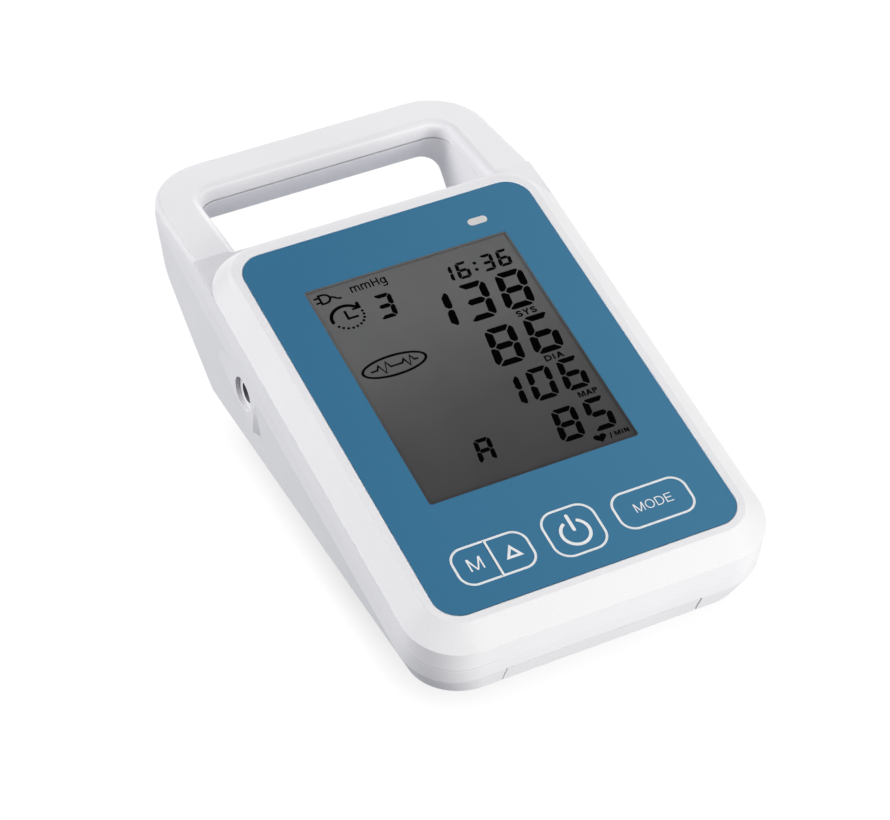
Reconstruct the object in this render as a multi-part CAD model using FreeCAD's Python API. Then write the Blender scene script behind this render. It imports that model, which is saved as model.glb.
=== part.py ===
import FreeCAD, Part
import math
import os
from FreeCAD import Vector as V

os.makedirs("parts", exist_ok=True)

# ---------------------------------------------------------------- driving dimensions (mm)
# Working axes: origin at the middle of the sloping panel, x to the right, y towards the
# handle, z up.  Panel axes: u = x, v up the panel, w out of the panel.
TILT = 11.85                # slope of the panel, degrees
Z_BASE = -46.5              # flat base below the middle of the panel
FOOT_H = 1.0                # feet stand this far below the base
Y_MID = 27.5                # middle of the overall length, ahead of the panel centre

HALF_W = 62.9               # half width of the housing
V_FRONT, V_REAR = -89.2, 87.2
V_FOLD = 88.9               # where the sloping sides meet the flat handle
R_CORNER = 18.5             # corner radius of the pillow's outer edge
W_EDGE = -6.3               # pillow edge below the panel plane
W_SEAM = -14.6              # joint between the two shells
W_CREASE = -20.7            # below this line the hull draws in
RIM_U, RIM_V0, RIM_V1, RIM_R = 55.63, -81.5, 81.3, 11.3
LIP_V, LIP_W = 82.75, -0.12  # nearly flat strip behind the rim, before the steep rear face
BASE_X, BASE_Y0, BASE_R = 58.0, -79.5, 17.0
BASE_FLARE = 0.20           # the base is this much wider at the rear, each side
WALL = 2.3                  # shell thickness
DECK = -3.2                 # underside of the deck that carries the panel sheet

# carrying handle
V_KINK, V_TAIL, R_TAIL, A_TAIL = 78.0, 139.7, 22.0, 1.6
TAIL_SKEW = 0.55            # the handle leans this far (degrees) to the left
Z_TOP = 12.1                # flat top of the handle
Z_BEVEL = 9.4               # where the outer bevel starts
Z_HSEAM = 5.9               # shell joint in the handle
OPEN_X, OPEN_Y0, OPEN_Y1, OPEN_R = 47.0, 87.3, 124.5, 7.5
OPEN_ROUND = 3.3            # rounded upper edge of the hand opening
SLOPE_Y0, SLOPE_A = 91.5, 46.0   # rear underside starts here and rises at this angle

# panel sheet, window, keys
PANEL_U0, PANEL_U1, PANEL_V0, PANEL_V1, PANEL_R = -52.58, 52.85, -78.65, 78.45, 8.5
SHEET_TOP, SHEET_BOT = -0.10, -0.45
LCD_TOP = -0.55             # display glass just under the window
WIN_U, WIN_V0, WIN_V1 = 37.07, -37.04, 57.78
KEY_GAP = 0.12
KEY_V0, KEY_V1, KEY_R = -70.15, -55.62, 5.0
KEY_U0, KEY_U1 = 14.95, 41.1
KEY_SPLIT = -28.33           # beside the line between the two left keys
PWR_U0, PWR_U1, PWR_V0, PWR_V1, PWR_R = -9.08, 9.2, -71.93, -53.79, 5.5
LIGHT_U, LIGHT_V, LIGHT_L, LIGHT_H = 30.4, 65.45, 7.0, 3.0
BOARD_TOP, BOARD_BOT = -9.6, -11.2

# cuff hose socket in the left wall
SOCK_Y, SOCK_Z, SOCK_R, SOCK_BORE = 50.7, -17.0, 6.05, 3.45
RING_R, MOUTH_X = 5.80, -61.42   # socket ring, set back in the hole
SOCK_DEPTH = 12.0
PAD_V = 36.8                # front edge of the raised flat round the socket

# battery bay
FLAP_X, FLAP_Z = 34.5, -38.4
FLAP_GAP_L, FLAP_GAP_R = 0.42, 0.75
DOOR_X, DOOR_Y1 = 31.0, -12.0
CELL_R, CELL_PITCH, CELL_Z = 7.1, 14.8, -36.9

t = math.radians(TILT)
ct, st = math.cos(t), math.sin(t)
PL_TILT = FreeCAD.Placement(V(0, 0, 0), FreeCAD.Rotation(V(1, 0, 0), TILT))
SHIFT = V(0, -Y_MID, -Z_BASE + FOOT_H)


# ---------------------------------------------------------------- helpers
def tilt(s):
    s = s.copy()
    s.Placement = PL_TILT.multiply(s.Placement)
    return s


def yz(v, w):
    return v * ct - w * st, v * st + w * ct


def z_on(w, y):
    return ((y + w * st) / ct) * st + w * ct


def arc(p, q, r):
    return Part.Arc(p, q, r).toShape()


def rr_wire(x0, x1, y0, y1, r, z=0.0):
    k = r * (1 - math.sqrt(0.5))
    p = lambda x, y: V(x, y, z)
    e = [Part.makeLine(p(x0 + r, y0), p(x1 - r, y0)),
         arc(p(x1 - r, y0), p(x1 - k, y0 + k), p(x1, y0 + r)),
         Part.makeLine(p(x1, y0 + r), p(x1, y1 - r)),
         arc(p(x1, y1 - r), p(x1 - k, y1 - k), p(x1 - r, y1)),
         Part.makeLine(p(x1 - r, y1), p(x0 + r, y1)),
         arc(p(x0 + r, y1), p(x0 + k, y1 - k), p(x0, y1 - r)),
         Part.makeLine(p(x0, y1 - r), p(x0, y0 + r)),
         arc(p(x0, y0 + r), p(x0 + k, y0 + k), p(x0 + r, y0))]
    return Part.Wire(e)


def rr(x0, x1, y0, y1, r, z0, z1):
    return Part.Face(rr_wire(x0, x1, y0, y1, r, z0)).extrude(V(0, 0, z1 - z0))


def box(x0, x1, y0, y1, z0, z1):
    return Part.makeBox(x1 - x0, y1 - y0, z1 - z0, V(x0, y0, z0))


def prism_x(pts, x0=-90.0, x1=90.0):
    w = Part.makePolygon([V(x0, y, z) for y, z in pts] + [V(x0, pts[0][0], pts[0][1])])
    return Part.Face(w).extrude(V(x1 - x0, 0, 0))


def cyl(p, d, r, h):
    return Part.makeCylinder(r, h, V(*p), V(*d))


def hull_wire(d, w, half=HALF_W, front=V_FRONT, rc=R_CORNER, kink=V_KINK,
              tail=V_TAIL, rt=R_TAIL, ang=A_TAIL, skew=TAIL_SKEW, flare=0.0):
    hw, vf, r, vr, R = half - d, front + d, rc - d, tail - d, rt - d
    vc = vr - R
    fw = hw - flare

    def corner(a):
        uc = hw - (vc - kink) * math.tan(a) - R / math.cos(a)
        am = (a + math.pi / 2) / 2
        return (uc, (uc + R * math.cos(a), vc + R * math.sin(a)), (uc + R * math.cos(am), vc + R * math.sin(am)))
    uc, tp, mp = corner(math.radians(ang + skew))
    ul, tl, ml = corner(math.radians(ang - skew))
    k = r * (1 - math.sqrt(0.5))
    p = lambda x, y: V(x, y, w)
    e = [Part.makeLine(p(-(fw - r), vf), p(fw - r, vf)),
         arc(p(fw - r, vf), p(fw - k, vf + k), p(fw, vf + r)),
         Part.makeLine(p(fw, vf + r), p(hw, kink)),
         Part.makeLine(p(hw, kink), p(*tp)),
         arc(p(*tp), p(*mp), p(uc, vr)),
         Part.makeLine(p(uc, vr), p(-ul, vr)),
         arc(p(-ul, vr), p(-ml[0], ml[1]), p(-tl[0], tl[1])),
         Part.makeLine(p(-tl[0], tl[1]), p(-hw, kink)),
         Part.makeLine(p(-hw, kink), p(-fw, vf + r)),
         arc(p(-fw, vf + r), p(-fw + k, vf + k), p(-(fw - r), vf))]
    return Part.Wire(e)


def base_wire(d, z):
    return hull_wire(d, z, half=BASE_X + BASE_FLARE, front=BASE_Y0, rc=BASE_R, kink=80.0,
                     tail=138.0, rt=20.0, ang=0.5, skew=0.0, flare=BASE_FLARE)


def hull_prism(d, w0, w1):
    return tilt(Part.Face(hull_wire(d, w0)).extrude(V(0, 0, w1 - w0)))


def tilted_wire(wire):
    return tilt(wire)


def fuse(*s):
    r = s[0]
    if len(s) > 1:
        r = r.fuse(list(s[1:]))
    return r.removeSplitter()


def cut(a, *s):
    r = a
    for b in s:
        r = r.cut(b)
    return r


def pipe(pts, radius, r_out, r_in=0.0):
    """Round tube along straight runs joined by tangent arcs."""
    edges = []
    last = V(*pts[0])
    n = len(pts)
    for i in range(1, n - 1):
        p, c, q = V(*pts[i - 1]), V(*pts[i]), V(*pts[i + 1])
        a, b = (p - c).normalize(), (q - c).normalize()
        half = math.acos(max(-1, min(1, a.dot(b)))) / 2
        back = radius / math.tan(half)
        s, e = c + a * back, c + b * back
        bis = (a + b).normalize()
        m = c + bis * (radius / math.sin(half) - radius)
        if (s - last).Length > 1e-6:
            edges.append(Part.makeLine(last, s))
        edges.append(arc(s, m, e))
        last = e
    edges.append(Part.makeLine(last, V(*pts[-1])))
    path = Part.Wire(edges)
    d = (V(*pts[1]) - V(*pts[0])).normalize()

    def sweep(r):
        prof = Part.Wire(Part.makeCircle(r, V(*pts[0]), d))
        return path.makePipeShell([prof], True, False)
    s = sweep(r_out)
    if r_in:
        s = s.cut(sweep(r_in))
    return s


def one(s):
    """The single solid of a boolean result."""
    return s.Solids[0] if len(s.Solids) == 1 else s


NODES = {}


def node(name, shape):
    NODES[name] = shape


# ---------------------------------------------------------------- outer form
top_mask = prism_x([(-130.0, z_on(W_EDGE, -130.0)), yz(V_FOLD, W_EDGE), (160.0, Z_TOP),
                    (160.0, -90.0), (-130.0, -90.0)])
block = hull_prism(0.0, W_CREASE, 8.0).common(top_mask)
lower_loft = Part.makeLoft([tilted_wire(hull_wire(0.0, W_CREASE)), base_wire(0.0, Z_BASE)], True, True)
lip_d = (HALF_W - RIM_U) * LIP_W / W_EDGE
pillow = tilt(Part.makeLoft([rr_wire(-HALF_W, HALF_W, V_FRONT, V_REAR, R_CORNER, W_EDGE),
                             rr_wire(-RIM_U - lip_d, RIM_U + lip_d, RIM_V0 - lip_d, LIP_V, RIM_R + lip_d, LIP_W),
                             rr_wire(-RIM_U, RIM_U, RIM_V0, RIM_V1, RIM_R, 0.0)], True, True))
outer = fuse(block, lower_loft, pillow)

# outer bevel round the top of the handle, starting at the fold behind the panel
def tail_wire(x75, x119, y_tail, r, z):
    a = math.degrees(math.atan((x75 - x119) / 44.0))
    return hull_wire(0.0, z, half=x75, front=40.0, rc=5.0, kink=75.0, tail=y_tail, rt=r, ang=a)


def bevel_wire(k, z):
    mid = lambda a, b: a + (b - a) * k
    return tail_wire(mid(63.0, 62.45), mid(61.80, 60.0), mid(140.82, 138.9), mid(22.0, 20.0), z)


BEVEL_PROFILE = ((0.0, 0.0), (0.42, 0.16), (0.72, 0.42), (0.90, 0.70), (1.0, 1.0))
bevel_body = Part.makeLoft([bevel_wire(k, Z_BEVEL + f * (Z_TOP + 0.01 - Z_BEVEL)) for f, k in BEVEL_PROFILE],
                           True, True)
bevel_ring = cut(box(-80, 80, yz(V_FOLD, W_EDGE)[0], 160, Z_BEVEL, Z_TOP + 0.01), bevel_body)
outer = cut(outer, bevel_ring)

# rear underside
ta = math.tan(math.radians(SLOPE_A))
slope = prism_x([(SLOPE_Y0, Z_BASE - 30), (SLOPE_Y0, Z_BASE), (170.0, Z_BASE + ta * (170.0 - SLOPE_Y0)),
                 (170.0, Z_BASE - 30)])
outer = cut(outer, slope)

# hand opening: straight walls, rounded upper edge, lower wall leaning back under the bar
shaft = rr(-OPEN_X, OPEN_X, 60.0, OPEN_Y1, OPEN_R, -70.0, Z_TOP)
cap = rr(-OPEN_X - 10, OPEN_X + 10, 50.0, OPEN_Y1 + 10, OPEN_R + 10, Z_TOP, Z_TOP + 8)
mouth = shaft.fuse(cap).removeSplitter()
lip = []
for e in mouth.Edges:
    bb = e.BoundBox
    if abs(bb.ZMin - Z_TOP) < 1e-6 and abs(bb.ZMax - Z_TOP) < 1e-6 and bb.XMax < OPEN_X + 0.1 \
            and bb.XMin > -OPEN_X - 0.1 and bb.YMax < OPEN_Y1 + 0.1:
        lip.append(e)
mouth = mouth.makeFillet(OPEN_ROUND, lip)
lean = Part.makeLoft([rr_wire(-OPEN_X, OPEN_X, 60.0, OPEN_Y1, OPEN_R, 5.5),
                      rr_wire(-OPEN_X, OPEN_X, 60.0, OPEN_Y1 + 22.8, OPEN_R, -34.5)], True, True)
opening = mouth.fuse(lean).common(box(-90, 90, OPEN_Y0, 200, -90, 60))
outer = cut(outer, opening)

# ---------------------------------------------------------------- inner form
inner = fuse(Part.makeLoft([tilted_wire(hull_wire(WALL, W_CREASE - 0.2)),
                            base_wire(WALL, Z_BASE + 2.2)], True, True),
             hull_prism(WALL, W_CREASE - 0.2, W_EDGE - 0.9),
             tilt(Part.makeLoft([rr_wire(-HALF_W + WALL, HALF_W - WALL, V_FRONT + WALL, V_REAR - WALL,
                                         R_CORNER - WALL, W_EDGE - 0.9),
                                 rr_wire(-RIM_U + 1.6, RIM_U - 1.6, RIM_V0 + 1.6, RIM_V1 - 1.6,
                                         RIM_R - 1.6, DECK)], True, True)))
inner_all = inner
inner = inner.common(box(-90, 90, -130, OPEN_Y0 - 2.4, -90, 60))

# hollows in the two arms of the handle
back = 2.3 / math.cos(math.radians(SLOPE_A))
above_slope = prism_x([(84.0, Z_BASE + 2.2), (SLOPE_Y0 - 1.0, Z_BASE + 2.2),
                       (128.0, Z_BASE + back + ta * (128.0 - SLOPE_Y0)), (128.0, 9.7), (84.0, 9.7)])
arms = inner_all.common(above_slope).common(
    fuse(box(-80, -51.0, 84, 128, -90, 60), box(51.0, 80, 84, 128, -90, 60)))

# ---------------------------------------------------------------- joint between the shells
ky, kz = None, Z_HSEAM
v_k = (Z_HSEAM - W_SEAM * ct) / st
ky = v_k * ct - W_SEAM * st
seam_line = [(-130.0, z_on(W_SEAM, -130.0)), (ky, kz), (170.0, kz)]
above = prism_x(seam_line + [(170.0, 80.0), (-130.0, 80.0)])
below = prism_x(seam_line + [(170.0, -120.0), (-130.0, -120.0)])
# open gap along the rear wall of the hand opening, fading to a scratch along its sides
GAP_H, GAP_D = 0.42, 0.9
gap_rear = rr(-OPEN_X - 0.5, OPEN_X + 0.5, OPEN_Y0 + 1.0, OPEN_Y1 + GAP_D, OPEN_R - 1.0, kz, kz + GAP_H)
gap_rear = gap_rear.common(box(-60, 60, OPEN_Y1 - OPEN_R + 1.5, 140, kz - 1, kz + 1))
gap_side = box(-OPEN_X - 0.12, OPEN_X + 0.12, OPEN_Y0 + 1.0, OPEN_Y1 - OPEN_R + 2.0, kz, kz + 0.12)
groove = fuse(gap_rear, gap_side)

upper = cut(outer.common(above), inner, arms, groove)
lower = outer.common(below)

lower = cut(lower, inner, arms)

# ---------------------------------------------------------------- keys
def key_shape(d, u0, u1, v0, v1, r, w0, w1):
    return rr(u0 - d, u1 + d, v0 - d, v1 + d, r + d, w0, w1)


pair = lambda d, w0, w1: key_shape(d, -KEY_U1, -KEY_U0, KEY_V0, KEY_V1, KEY_R, w0, w1)
mode = lambda d, w0, w1: key_shape(d, KEY_U0, KEY_U1, KEY_V0, KEY_V1, KEY_R, w0, w1)
power = lambda d, w0, w1: key_shape(d, PWR_U0, PWR_U1, PWR_V0, PWR_V1, PWR_R, w0, w1)
light = lambda d, w0, w1: rr(LIGHT_U - LIGHT_L / 2 - d, LIGHT_U + LIGHT_L / 2 + d,
                             LIGHT_V - LIGHT_H / 2 - d, LIGHT_V + LIGHT_H / 2 + d,
                             LIGHT_H / 2 + d - 0.06, w0, w1)
KEY_TOP, FL_TOP, FL_BOT, STEM_BOT = -0.10, -0.65, -1.45, -5.20
left_half = box(-60, KEY_SPLIT - 0.07, -100, 0, -20, 5)
right_half = box(KEY_SPLIT + 0.07, 0, -100, 0, -20, 5)


def key_cap(f, mask=None):
    s = f(0.0, FL_TOP, KEY_TOP).fuse(f(0.8, FL_BOT, FL_TOP)).removeSplitter()
    return s.common(mask) if mask else s


key_mid = 0.5 * (KEY_V0 + KEY_V1)
key_at = {"memory": (-34.4, key_mid), "up": (-21.6, key_mid),
          "power": (0.0, 0.5 * (PWR_V0 + PWR_V1)), "mode": (28.0, key_mid)}
caps = {"memory": key_cap(pair, left_half), "up": key_cap(pair, right_half),
        "power": key_cap(power), "mode": key_cap(mode)}
PLUNGER_R, SW_TOP = 1.7, -6.2
switches = []
for k, (u, v) in key_at.items():
    stem = Part.makeCylinder(2.6, FL_BOT - STEM_BOT + 0.3, V(u, v, STEM_BOT))
    node(k + "_key", tilt(one(caps[k].fuse(stem).removeSplitter())))
    plunger = Part.makeCylinder(PLUNGER_R, STEM_BOT - (SW_TOP - 0.6), V(u, v, SW_TOP - 0.6))
    node(k + "_switch_plunger", tilt(plunger))
    sw = rr(u - 3.0, u + 3.0, v - 3.0, v + 3.0, 0.5, BOARD_TOP, SW_TOP)
    switches.append(tilt(cut(sw, Part.makeCylinder(PLUNGER_R + 0.08, 2.4, V(u, v, SW_TOP - 2.0)))))
node("key_switches", Part.makeCompound(switches))

# ---------------------------------------------------------------- panel sheet and display
sheet = rr(PANEL_U0, PANEL_U1, PANEL_V0, PANEL_V1, PANEL_R, SHEET_BOT, SHEET_TOP)
sheet = cut(sheet, rr(-WIN_U, WIN_U, WIN_V0, WIN_V1, 1.05, -5, 5), pair(KEY_GAP, -5, 5),
            mode(KEY_GAP, -5, 5), power(KEY_GAP, -5, 5), light(0.08, -5, 5))
node("panel_sheet", tilt(one(sheet)))
node("display_window", tilt(rr(-WIN_U + 0.07, WIN_U - 0.07, WIN_V0 + 0.07, WIN_V1 - 0.07, 1.0,
                               SHEET_BOT, SHEET_TOP - 0.02)))
node("liquid_crystal_display", tilt(rr(-WIN_U + 0.57, WIN_U - 0.57, WIN_V0 + 0.57, WIN_V1 - 0.57,
                                       0.8, DECK, LCD_TOP)))
node("display_backlight", tilt(rr(-36.5, 36.5, -33.5, 54.2, 0.5, -6.2, DECK)))
strips = [tilt(box(-34, 34, -36.3, -34.0, BOARD_TOP, DECK)),
          tilt(box(-34, 34, 54.7, 57.0, BOARD_TOP, DECK))]
node("display_contact_strips", Part.makeCompound(strips))
frame = cut(rr(-41.5, 41.5, -41.5, 62.3, 2.0, BOARD_TOP, DECK),
            rr(-36.7, 36.7, -36.7, 57.45, 0.9, -20, 0))
node("display_holder_frame", tilt(one(frame)))
lens = light(0.0, -2.6, SHEET_TOP).fuse(light(1.2, -4.4, -3.4)).fuse(light(0.0, -8.4, -2.6)).removeSplitter()
node("status_light_lens", tilt(one(lens)))

# ---------------------------------------------------------------- upper housing details
recess = rr(PANEL_U0 - 0.12, PANEL_U1 + 0.12, PANEL_V0 - 0.12, PANEL_V1 + 0.12, PANEL_R + 0.12, SHEET_BOT, 5)
deck_cuts = [rr(-WIN_U + 0.37, WIN_U - 0.37, WIN_V0 + 0.37, WIN_V1 - 0.37, 1.0, -8, 0),
             pair(1.1, -8, 0), mode(1.1, -8, 0), power(1.1, -8, 0), light(0.25, -8, 0)]
PE = 0.42                   # bevel on the edge round the panel sheet
edge = Part.makeLoft([rr_wire(PANEL_U0 - 0.12, PANEL_U1 + 0.12, PANEL_V0 - 0.12, PANEL_V1 + 0.12, PANEL_R + 0.12, -PE),
                      rr_wire(PANEL_U0 - 0.17 - PE, PANEL_U1 + 0.17 + PE, PANEL_V0 - 0.17 - PE, PANEL_V1 + 0.17 + PE,
                              PANEL_R + 0.17 + PE, 0.05)], True, True)
upper = cut(upper, tilt(recess), tilt(edge), *[tilt(c) for c in deck_cuts])

SCREW_X, SCREW_Y = 52.5, (-38.0, 72.0)
BOARD_SCREWS = [(-44.4, -30.0), (44.4, -30.0), (-44.4, 45.0), (44.4, 45.0)]
upper_add, upper_bore, lower_add, lower_bore, house_screws = [], [], [], [], []
HEAD_Z = {SCREW_Y[0]: -34.0, SCREW_Y[1]: -11.0}
for y in SCREW_Y:
    zs = z_on(W_SEAM, y)
    for x in (-SCREW_X, SCREW_X):
        col = cyl((x, y, -60), (0, 0, 1), 3.7, 90)
        upper_add.append(col.common(above).common(inner))
        lower_add.append(col.common(below).common(inner))
        z_head, z_tip = HEAD_Z[y], zs + 7.0
        upper_bore.append(cyl((x, y, zs - 3), (0, 0, 1), 1.5, z_tip + 0.6 - zs + 3))
        lower_bore.append(cyl((x, y, -60), (0, 0, 1), 1.65, 90))
        lower_bore.append(cyl((x, y, -60), (0, 0, 1), 3.05, z_head + 60))
        head = cyl((x, y, z_head - 2.2), (0, 0, 1), 2.8, 2.2)
        slot = fuse(box(x - 1.9, x + 1.9, y - 0.35, y + 0.35, z_head - 3, z_head - 1.2),
                    box(x - 0.35, x + 0.35, y - 1.9, y + 1.9, z_head - 3, z_head - 1.2))
        shank = cyl((x, y, z_head - 0.5), (0, 0, 1), 1.4, z_tip - z_head + 0.5)
        house_screws.append(one(fuse(cut(head, slot), shank)))
board_screws = []
for u, v in BOARD_SCREWS:
    upper_add.append(tilt(Part.makeCylinder(2.4, DECK - BOARD_TOP + 0.4, V(u, v, BOARD_TOP))))
    upper_bore.append(tilt(Part.makeCylinder(1.1, 5.6, V(u, v, BOARD_TOP - 0.1))))
    hd = Part.makeCylinder(2.1, 1.5, V(u, v, BOARD_BOT - 1.5))
    sl = fuse(box(u - 1.4, u + 1.4, v - 0.3, v + 0.3, BOARD_BOT - 2, BOARD_BOT - 0.8),
              box(u - 0.3, u + 0.3, v - 1.4, v + 1.4, BOARD_BOT - 2, BOARD_BOT - 0.8))
    sh = Part.makeCylinder(1.0, 6.4, V(u, v, BOARD_BOT - 0.2))
    board_screws.append(tilt(one(fuse(cut(hd, sl), sh))))
upper = cut(upper.fuse(upper_add).removeSplitter(), *upper_bore)
node("upper_housing", one(upper))
node("board_screws", Part.makeCompound(board_screws))
node("housing_screws", Part.makeCompound(house_screws))

# ---------------------------------------------------------------- circuit board
board = rr(-47.0, 47.0, -72.0, 67.0, 2.0, BOARD_BOT, BOARD_TOP)
board = cut(board, *[Part.makeCylinder(1.1, 10, V(u, v, -15)) for u, v in BOARD_SCREWS])
node("main_circuit_board", tilt(one(board)))
chips = [tilt(box(u0, u1, v0, v1, BOARD_BOT - h, BOARD_BOT)) for u0, u1, v0, v1, h in
         ((-8, 6, -6, 8, 1.6), (14, 22, 4, 12, 1.2), (-20, -14, -6, 0, 1.0), (26, 34, -18, -13, 1.4),
          (12, 17, -24, -20, 1.0))]
node("board_chips", Part.makeCompound(chips))
node("status_lamp", tilt(box(LIGHT_U - 1.6, LIGHT_U + 1.6, LIGHT_V - 0.8, LIGHT_V + 0.8, BOARD_TOP, BOARD_TOP + 0.8)))
buzzer = cut(Part.makeCylinder(6.0, 5.0, V(30, 35, BOARD_BOT - 5.0)), Part.makeCylinder(1.0, 2.0, V(30, 35, BOARD_BOT - 6)))
node("buzzer", tilt(buzzer))

# ---------------------------------------------------------------- cuff socket and air path
PAD_X0, PAD_X1 = -HALF_W, -56.8


def pad_wire(v, x0, x1, w1, x2, w2, x_in):
    q = [(x0, -19.0), (x1, w1), (x2, w2), (x_in, w2), (x_in, -19.0)]
    return tilt(Part.makePolygon([V(x, v, w) for x, w in q + q[:1]]))


def hull_x(v, w):
    z0, z = v * st + W_CREASE * ct, v * st + w * ct
    return -HALF_W + max(0.0, (HALF_W - BASE_X) * (z0 - z) / (z0 - Z_BASE))


# flat in line with the upper wall; a short slanting front edge, running out into the hull behind
pad = Part.makeLoft([pad_wire(PAD_V, PAD_X0 + 0.05, hull_x(PAD_V, -37.9) + 0.05, -37.9,
                              hull_x(PAD_V, -40.2) + 0.05, -40.2, PAD_X1),
                     pad_wire(PAD_V + 1.4, PAD_X0, PAD_X0 + 0.45, -37.9,
                              hull_x(PAD_V + 1.4, -41.0) + 0.05, -41.0, PAD_X1),
                     pad_wire(45.0, PAD_X0, PAD_X0, -34.6, -59.0, -46.5, PAD_X1),
                     pad_wire(54.0, PAD_X0, PAD_X0, -33.5, -58.9, -47.0, PAD_X1),
                     pad_wire(78.0, PAD_X0 + 0.4, PAD_X0 + 2.3, -33.0, -58.2, -46.0, PAD_X1)], True, True)
wall_hole = cyl((-80, SOCK_Y, SOCK_Z), (1, 0, 0), SOCK_R, 30)
sock = cyl((MOUTH_X, SOCK_Y, SOCK_Z), (1, 0, 0), RING_R, -47.5 - MOUTH_X)
sock = fuse(sock, cyl((-55.8, SOCK_Y, SOCK_Z), (1, 0, 0), 7.6, 2.0), cyl((-50, SOCK_Y, SOCK_Z), (1, 0, 0), 1.9, 8.6))
sock = cut(sock, cyl((MOUTH_X - 1, SOCK_Y, SOCK_Z), (1, 0, 0), SOCK_BORE, SOCK_DEPTH + 1),
           cyl((-52, SOCK_Y, SOCK_Z), (1, 0, 0), 1.1, 20))
node("cuff_socket", one(sock))
# flat rubber seal behind the wall
seal = cut(cyl((-56.8, SOCK_Y, SOCK_Z), (1, 0, 0), 7.6, 1.0), cyl((-58, SOCK_Y, SOCK_Z), (1, 0, 0), RING_R + 0.05, 4))
node("socket_gasket", one(seal))
MX, MY, MZ = -24.0, SOCK_Y, SOCK_Z
man = box(MX - 6, MX + 6, MY - 6, MY + 6, MZ - 4, MZ + 4)
man = fuse(man, cyl((MX - 11, MY, MZ), (1, 0, 0), 1.9, 8), cyl((MX, MY + 3, MZ), (0, 1, 0), 1.9, 8),
           cyl((MX, MY - 11, MZ), (0, 1, 0), 1.9, 8), cyl((MX, MY, MZ + 2), (0, 0, 1), 1.9, 4.6))
man = cut(man, cyl((MX - 20, MY, MZ), (1, 0, 0), 1.1, 20), cyl((MX, MY - 20, MZ), (0, 1, 0), 1.1, 40),
          cyl((MX, MY, MZ), (0, 0, 1), 1.1, 20))
node("air_manifold", one(man))
TO, TI = 3.2, 2.0
node("socket_tube", pipe([(-47.4, MY, MZ), (MX - 6.1, MY, MZ)], 6, TO, TI))
PY, PZ = 64.0, -26.8
head = rr(-14.0, 8.0, PY - 13.4, PY + 13.4, 2.0, PZ - 13.2, PZ + 13.2)
head = fuse(head, cyl((-18.0, 70.0, MZ), (1, 0, 0), 1.9, 6))
head = cut(head, cyl((-20, 70.0, MZ), (1, 0, 0), 1.1, 12))
node("air_pump_head", one(head))
motor = fuse(cyl((8.0, PY, PZ), (1, 0, 0), 12.0, 30.0), cyl((38.0, PY, PZ), (1, 0, 0), 4.0, 2.5))
node("air_pump_motor", one(motor))
cradle = fuse(box(-13.0, 36.0, PY - 12, PY + 12, Z_BASE + 2.2, Z_BASE + 4.0),
              box(-13.0, 7.0, PY - 12, PY + 12, Z_BASE + 2.2, PZ - 13.2),
              box(12.0, 36.0, PY - 14, PY + 14, Z_BASE + 2.2, PZ - 2.0))
cradle = cut(cradle, cyl((0, PY, PZ), (1, 0, 0), 12.08, 60).common(box(9, 60, 0, 100, -60, 0)))
node("pump_cradle", one(cradle))
node("pump_tube", pipe([(MX, MY + 6.1, MZ), (MX, 70.0, MZ), (-14.1, 70.0, MZ)], 6.0, TO, TI))
VY = 30.0
valve = fuse(cyl((-10.0, VY, MZ), (1, 0, 0), 7.0, 22.0), cyl((-14.0, VY, MZ), (1, 0, 0), 1.9, 6.0),
             cyl((12.0, VY, MZ), (1, 0, 0), 2.5, 2.0))
valve = cut(valve, cyl((-20.0, VY, MZ), (1, 0, 0), 1.1, 14))
node("exhaust_valve", one(valve))
node("valve_tube", pipe([(MX, MY - 6.1, MZ), (MX, VY, MZ), (-10.1, VY, MZ)], 6.0, TO, TI))
sens = tilt(box(MX - 6, MX + 6, 42.0, 55.0, BOARD_BOT - 3.0, BOARD_BOT))
sens = fuse(sens, cyl((MX, MY, -6.9), (0, 0, 1), 1.9, 4.5))
sens = cut(sens, cyl((MX, MY, -9), (0, 0, 1), 1.1, 5.0))
node("pressure_sensor", one(sens))
node("sensor_tube", cut(cyl((MX, MY, MZ + 4.1), (0, 0, 1), TO, 7.7), cyl((MX, MY, MZ + 3), (0, 0, 1), TI, 12)))

# ---------------------------------------------------------------- mains adapter jack in the rear wall
JX, JZ = -32.0, -26.0
rear_in = OPEN_Y0 - 2.4
jack = fuse(cyl((JX, rear_in - 3, JZ), (0, 1, 0), 4.9, 5.2), box(JX - 7, JX + 7, 72.0, rear_in, JZ - 6, JZ + 6))
jack = cut(jack, cyl((JX, rear_in - 9, JZ), (0, 1, 0), 3.1, 20))
jack = fuse(jack, cyl((JX, rear_in - 10, JZ), (0, 1, 0), 1.0, 9.5))
node("adapter_jack", one(jack))
jack_hole = cyl((JX, rear_in - 1, JZ), (0, 1, 0), 5.05, 10)
zb = z_on(BOARD_BOT, 60.0)
jl = []
for dx in (-2.5, 2.5):
    top = z_on(BOARD_BOT, 66.0) - 0.25
    jl.append(pipe([(JX + dx, 71.9, JZ), (JX + dx, 66.0, JZ), (JX + dx, 66.0, top)], 3.0, 0.75))
node("adapter_jack_leads", Part.makeCompound(jl))

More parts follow.
